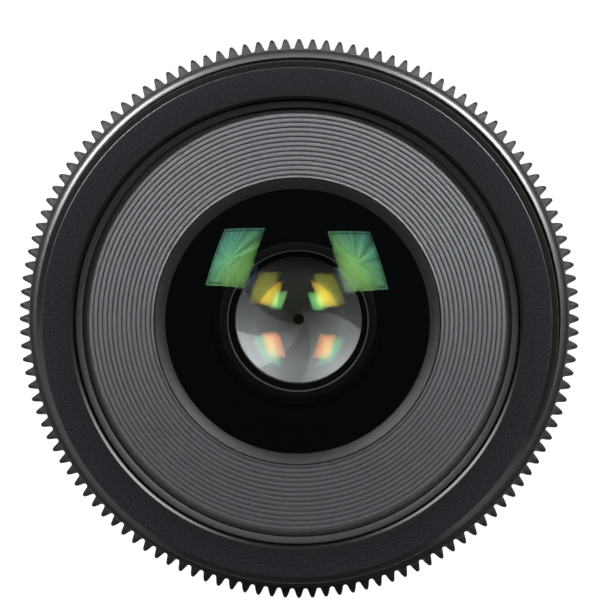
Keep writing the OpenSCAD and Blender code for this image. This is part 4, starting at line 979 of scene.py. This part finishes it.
class Marks:
    """Paint marks on one ring, gathered into a single mesh."""

    def __init__(self, name, radius_at, body, material):
        self.name, self.radius_at, self.body, self.material = name, radius_at, body, material
        self.verts, self.faces = [], []

    def add(self, flat, faces, angle):
        """Wraps flat (x, z) points round the ring, with x = 0 at the angle."""
        base = len(self.verts)
        for x, z in flat:
            r = self.radius_at(z) + MARK_LIFT
            a = angle + x / r
            self.verts.append((r * math.cos(a), r * math.sin(a), z))
        self.faces += [tuple(base + k for k in f) for f in faces]

    def line(self, angle, z0, z1, width):
        half = width / 2
        self.add([(-half, z0), (half, z0), (half, z1), (-half, z1)], [(0, 1, 2, 3)], angle)

    def number(self, text, angle, z, height):
        curve = bpy.data.curves.new("number", "FONT")
        curve.body = text
        curve.size = height * TEXT_SCALE
        curve.align_x = "CENTER"
        curve.resolution_u = TEXT_STEPS
        obj = bpy.data.objects.new("number", curve)
        bpy.context.scene.collection.objects.link(obj)
        mesh = bpy.data.meshes.new_from_object(obj.evaluated_get(bpy.context.evaluated_depsgraph_get()))
        flat = [(v.co.x, z + v.co.y) for v in mesh.vertices]
        self.add(flat, [tuple(p.vertices) for p in mesh.polygons], angle)
        bpy.data.objects.remove(obj)
        bpy.data.curves.remove(curve)
        bpy.data.meshes.remove(mesh)

    def finish(self, slot):
        seat(finish_mesh(self.name, self.verts, self.faces, [self.material]), self.body, slot)


def cone_r(z):
    return SCALE_R0 + (SCALE_R1 - SCALE_R0) * (z - SCALE_Z0) / (SCALE_Z1 - SCALE_Z0)


INDEX_ANGLES = (-math.pi / 2, math.pi / 2)
INDEX_LINE = (INDEX_Z0 + 0.5, INDEX_Z1 - 0.5, 0.35)
FOCUS_TURN = math.radians(JOINTS["focus_turn"]["range_deg"][1])
NEAR_M = 0.3
FOOT_M = 0.3048
METRES = (5, 3, 2, 1.5, 1.2, 1, 0.8, 0.7, 0.6, 0.5, 0.45, 0.4, 0.35, 0.3)
METRE_LINE = (SCALE_Z0 + 0.3, SCALE_Z0 + 2.6)
METRE_TEXT = (SCALE_Z0 + 3.4, 2.6)
FEET = (30, 15, 10, 7, 5, 4, 3, 2.5, 2, 1.5, 1.25, 1)
FOOT_LINE = (SCALE_Z1 - 4.9, SCALE_Z1 - 3.8)
FOOT_TEXT = (SCALE_Z1 - 3.2, 2.4)
LINE_W = 0.22
FAR_LINE_W = 0.3
STOP_TURNS = {"16": 0.9, "11": 3.0, "8": 5.7, "5.6": 9.75, "4": 15.1, "2.8": 23.2, "2": 33.8, "1.5": 46.1}
STOPS_WITHOUT_TEXT = ("11", "5.6")
STOP_LINE = (IRIS_Z1 - 2.4, IRIS_Z1 - 0.5, 0.25)
STOP_TEXT = (IRIS_Z1 - 5.6, 2.5)
white = Marks("focus_scale_metres", cone_r, "focus_drive", WHITE_PAINT)
amber = Marks("focus_scale_feet", cone_r, "focus_drive", AMBER_PAINT)
stops = Marks("iris_scale_stops", lambda z: IRIS_R, "iris_drive", WHITE_PAINT)
witness = Marks("index_lines", lambda z: INDEX_R, "root", WHITE_PAINT)
for index in INDEX_ANGLES:
    white.line(index, *METRE_LINE, FAR_LINE_W)
    for metres in METRES:
        place = index - FOCUS_TURN * NEAR_M / metres
        white.line(place, *METRE_LINE, LINE_W)
        white.number(f"{metres:g}", place, *METRE_TEXT)
    for feet in FEET:
        place = index - FOCUS_TURN * min(NEAR_M / (feet * FOOT_M), 1.0)
        amber.line(place, *FOOT_LINE, LINE_W)
        amber.number(f"{feet:g}", place, *FOOT_TEXT)
    for label, turn in STOP_TURNS.items():
        place = index - math.radians(turn)
        stops.line(place, *STOP_LINE)
        if label not in STOPS_WITHOUT_TEXT:
            stops.number(label, place, *STOP_TEXT)
    witness.line(index, *INDEX_LINE)
for marks in (white, amber, stops, witness):
    marks.finish("matt_black")

# Camera at the photograph's place: a little above and to the right of the optical axis
CAMERA_PLACE = Vector((17.11, 29.39, 948.1)) * MM
CAMERA_AIM = Vector((0.197, 3.536, 74.0)) * MM
CAMERA_LENS = 282.48
SENSOR_W = 36.0
CLIP_START, CLIP_END = 0.01, 50.0
back = (CAMERA_PLACE - CAMERA_AIM).normalized()
right = Vector((0, 1, 0)).cross(back).normalized()
up = back.cross(right)
camera_data = bpy.data.cameras.new("photo_camera")
camera_data.lens = CAMERA_LENS
camera_data.sensor_width = SENSOR_W
camera_data.clip_start = CLIP_START
camera_data.clip_end = CLIP_END
camera = bpy.data.objects.new("photo_camera", camera_data)
camera.matrix_world = Matrix.Translation(CAMERA_PLACE) @ Matrix((right, up, back)).transposed().to_4x4()
bpy.context.scene.collection.objects.link(camera)
bpy.context.scene.camera = camera

# Two leaning light panels beyond the top corners of the picture, and dim fill panels at the sides
PANEL_Z = 1000.0
PANEL_ACROSS = 279.0
PANEL_ALONG = 375.0
PANEL_LEAN = 90.0
PANEL_RISE = 28.0
PANEL_LEVEL = 25.0
PANEL_COLOUR = (0.94, 0.97, 1.0, 1.0)
PANEL_LAMP = (0.4, 0.42, 0.0)
PANEL_MIDDLE = (0.5, 0.5, 0.0)
PANEL_GLOW = [(0.0, grey(1.0)), (0.3, grey(0.72)), (0.75, grey(0.3))]
PANEL_SEAM = [(0.43, grey(1.0)), (0.45, grey(0.45)), (0.465, grey(0.45)), (0.48, grey(0.9))]
PANEL_CENTRES = {"left": (-402.0, 362.0), "right": (345.0, 335.0)}
FOLD_SCALE = 24.0
FOLD_DETAIL = 3.0
FOLD_LEVELS = (0.3, 1.7)
FILLS = {"left": (210.0, 800.0), "right": (316.0, 360.0)}
FILL_DISTANCE = 700.0
FILL_Z = 120.0
FILL_HEIGHT = 260.0
FILL_LEVEL = 0.75


def panel_material(name, panel_level):
    """White fabric of a light panel: brighter at its lamp, with folds that fan out and a seam round it.

    Its back is clear."""
    n = Nodes(name)
    place = n.add("ShaderNodeTexCoord").outputs["UV"]
    offset = n.vector("SUBTRACT", place, PANEL_LAMP)
    glow = n.ramp(n.vector("LENGTH", offset), PANEL_GLOW)
    fan = n.add("ShaderNodeTexGradient", gradient_type="RADIAL")
    n.link(offset, fan.inputs["Vector"])
    folds = n.remap(n.streaks(fan.outputs["Fac"], FOLD_SCALE, FOLD_DETAIL), *FOLD_LEVELS)
    parts = n.add("ShaderNodeSeparateXYZ")
    n.link(n.vector("ABSOLUTE", n.vector("SUBTRACT", place, PANEL_MIDDLE)), parts.inputs["Vector"])
    seam = n.ramp(n.calc("MAXIMUM", parts.outputs["X"], parts.outputs["Y"]), PANEL_SEAM)
    level = n.calc("MULTIPLY", n.calc("MULTIPLY", glow, folds), seam)
    light = n.add("ShaderNodeEmission", Color=PANEL_COLOUR)
    n.link(n.calc("MULTIPLY", level, panel_level), light.inputs["Strength"])
    clear = n.add("ShaderNodeBsdfTransparent", Color=(*grey(1.0), 1.0))
    behind = n.add("ShaderNodeNewGeometry").outputs["Backfacing"]
    return n.surface(n.mixed(behind, light.outputs["Emission"], clear.outputs["BSDF"]))


PANEL = panel_material("light_panel", PANEL_LEVEL)
FILL = panel_material("fill_panel", FILL_LEVEL)


def light_panel(name, middle, across, along, material):
    """Flat panel, hidden from the camera, that shines to where its corners are seen to run clockwise."""
    across, along = np.array(across) / 2, np.array(along) / 2
    low, high = middle - across, middle + across
    corners = [low - along, low + along, high + along, high - along]
    panel = finish_mesh(name, corners, [(0, 1, 2, 3)], [material])
    panel.data.uv_layers.new().data.foreach_set("uv", (0, 0, 0, 1, 1, 1, 1, 0))
    panel.visible_camera = False


for side, label in ((-1, "left"), (1, "right")):
    light_panel(f"panel_{label}", np.array([*PANEL_CENTRES[label], PANEL_Z]),
                (PANEL_ACROSS, side * PANEL_RISE, 0), (-side * PANEL_LEAN, PANEL_ALONG, 0), PANEL)
for label, (angle, width) in FILLS.items():
    out = np.array([math.cos(math.radians(angle)), math.sin(math.radians(angle)), 0])
    light_panel(f"fill_{label}", out * FILL_DISTANCE + np.array([0, 0, FILL_Z]),
                np.array([-out[1], out[0], 0]) * width, (0, 0, FILL_HEIGHT), FILL)

# Pale floor
FLOOR_HALF_M = 3.0
FLOOR_GREY = 0.3
FLOOR_GLOW = 1.35
FLOOR_SHARE = 0.82
MIRRORED_R0, MIRRORED_R1 = 60.0, 170.0


def floor_material():
    """White to the camera, and near the lens to glossy and transmitted rays too. It keeps the shadow."""
    n = Nodes("pale_floor")
    diffuse = n.add("ShaderNodeBsdfDiffuse", Color=(*grey(FLOOR_GREY), 1.0))
    light = n.add("ShaderNodeEmission", Color=(*grey(1.0), 1.0), Strength=FLOOR_GLOW)
    path = n.add("ShaderNodeLightPath").outputs
    near = n.remap(n.axis_distance(), 1.0, 0.0, MIRRORED_R0 * MM, MIRRORED_R1 * MM)
    mirrored = n.calc("MAXIMUM", path["Is Glossy Ray"], path["Is Transmission Ray"])
    seen = n.calc("MAXIMUM", path["Is Camera Ray"], n.calc("MULTIPLY", mirrored, near))
    share = n.calc("MULTIPLY", seen, FLOOR_SHARE)
    return n.surface(n.mixed(share, diffuse.outputs["BSDF"], light.outputs["Emission"]))


floor_mesh = bpy.data.meshes.new("floor")
corners = [(x * FLOOR_HALF_M, y * FLOOR_HALF_M, 0) for x, y in ((-1, -1), (1, -1), (1, 1), (-1, 1))]
floor_mesh.from_pydata(corners, [], [(0, 1, 2, 3)])
floor_mesh.materials.append(floor_material())
floor = bpy.data.objects.new("floor", floor_mesh)
floor.location.z = FLOOR_Z * MM
bpy.context.scene.collection.objects.link(floor)

# World: dim, and white to the camera
WORLD_LEVEL = 0.05
WORLD_SEEN = 1.0
world = bpy.data.worlds.new("studio")
bpy.context.scene.world = world
world.use_nodes = True
world_nodes = world.node_tree.nodes
world_links = world.node_tree.links
sky = world_nodes["Background"]
sky.inputs["Color"].default_value = (*grey(1.0), 1.0)
sky_path = world_nodes.new("ShaderNodeLightPath")
sky_level = world_nodes.new("ShaderNodeMapRange")
sky_level.inputs["To Min"].default_value = WORLD_LEVEL
sky_level.inputs["To Max"].default_value = WORLD_SEEN
world_links.new(sky_path.outputs["Is Camera Ray"], sky_level.inputs["Value"])
world_links.new(sky_level.outputs["Result"], sky.inputs["Strength"])
bpy.context.scene.view_settings.view_transform = "Standard"
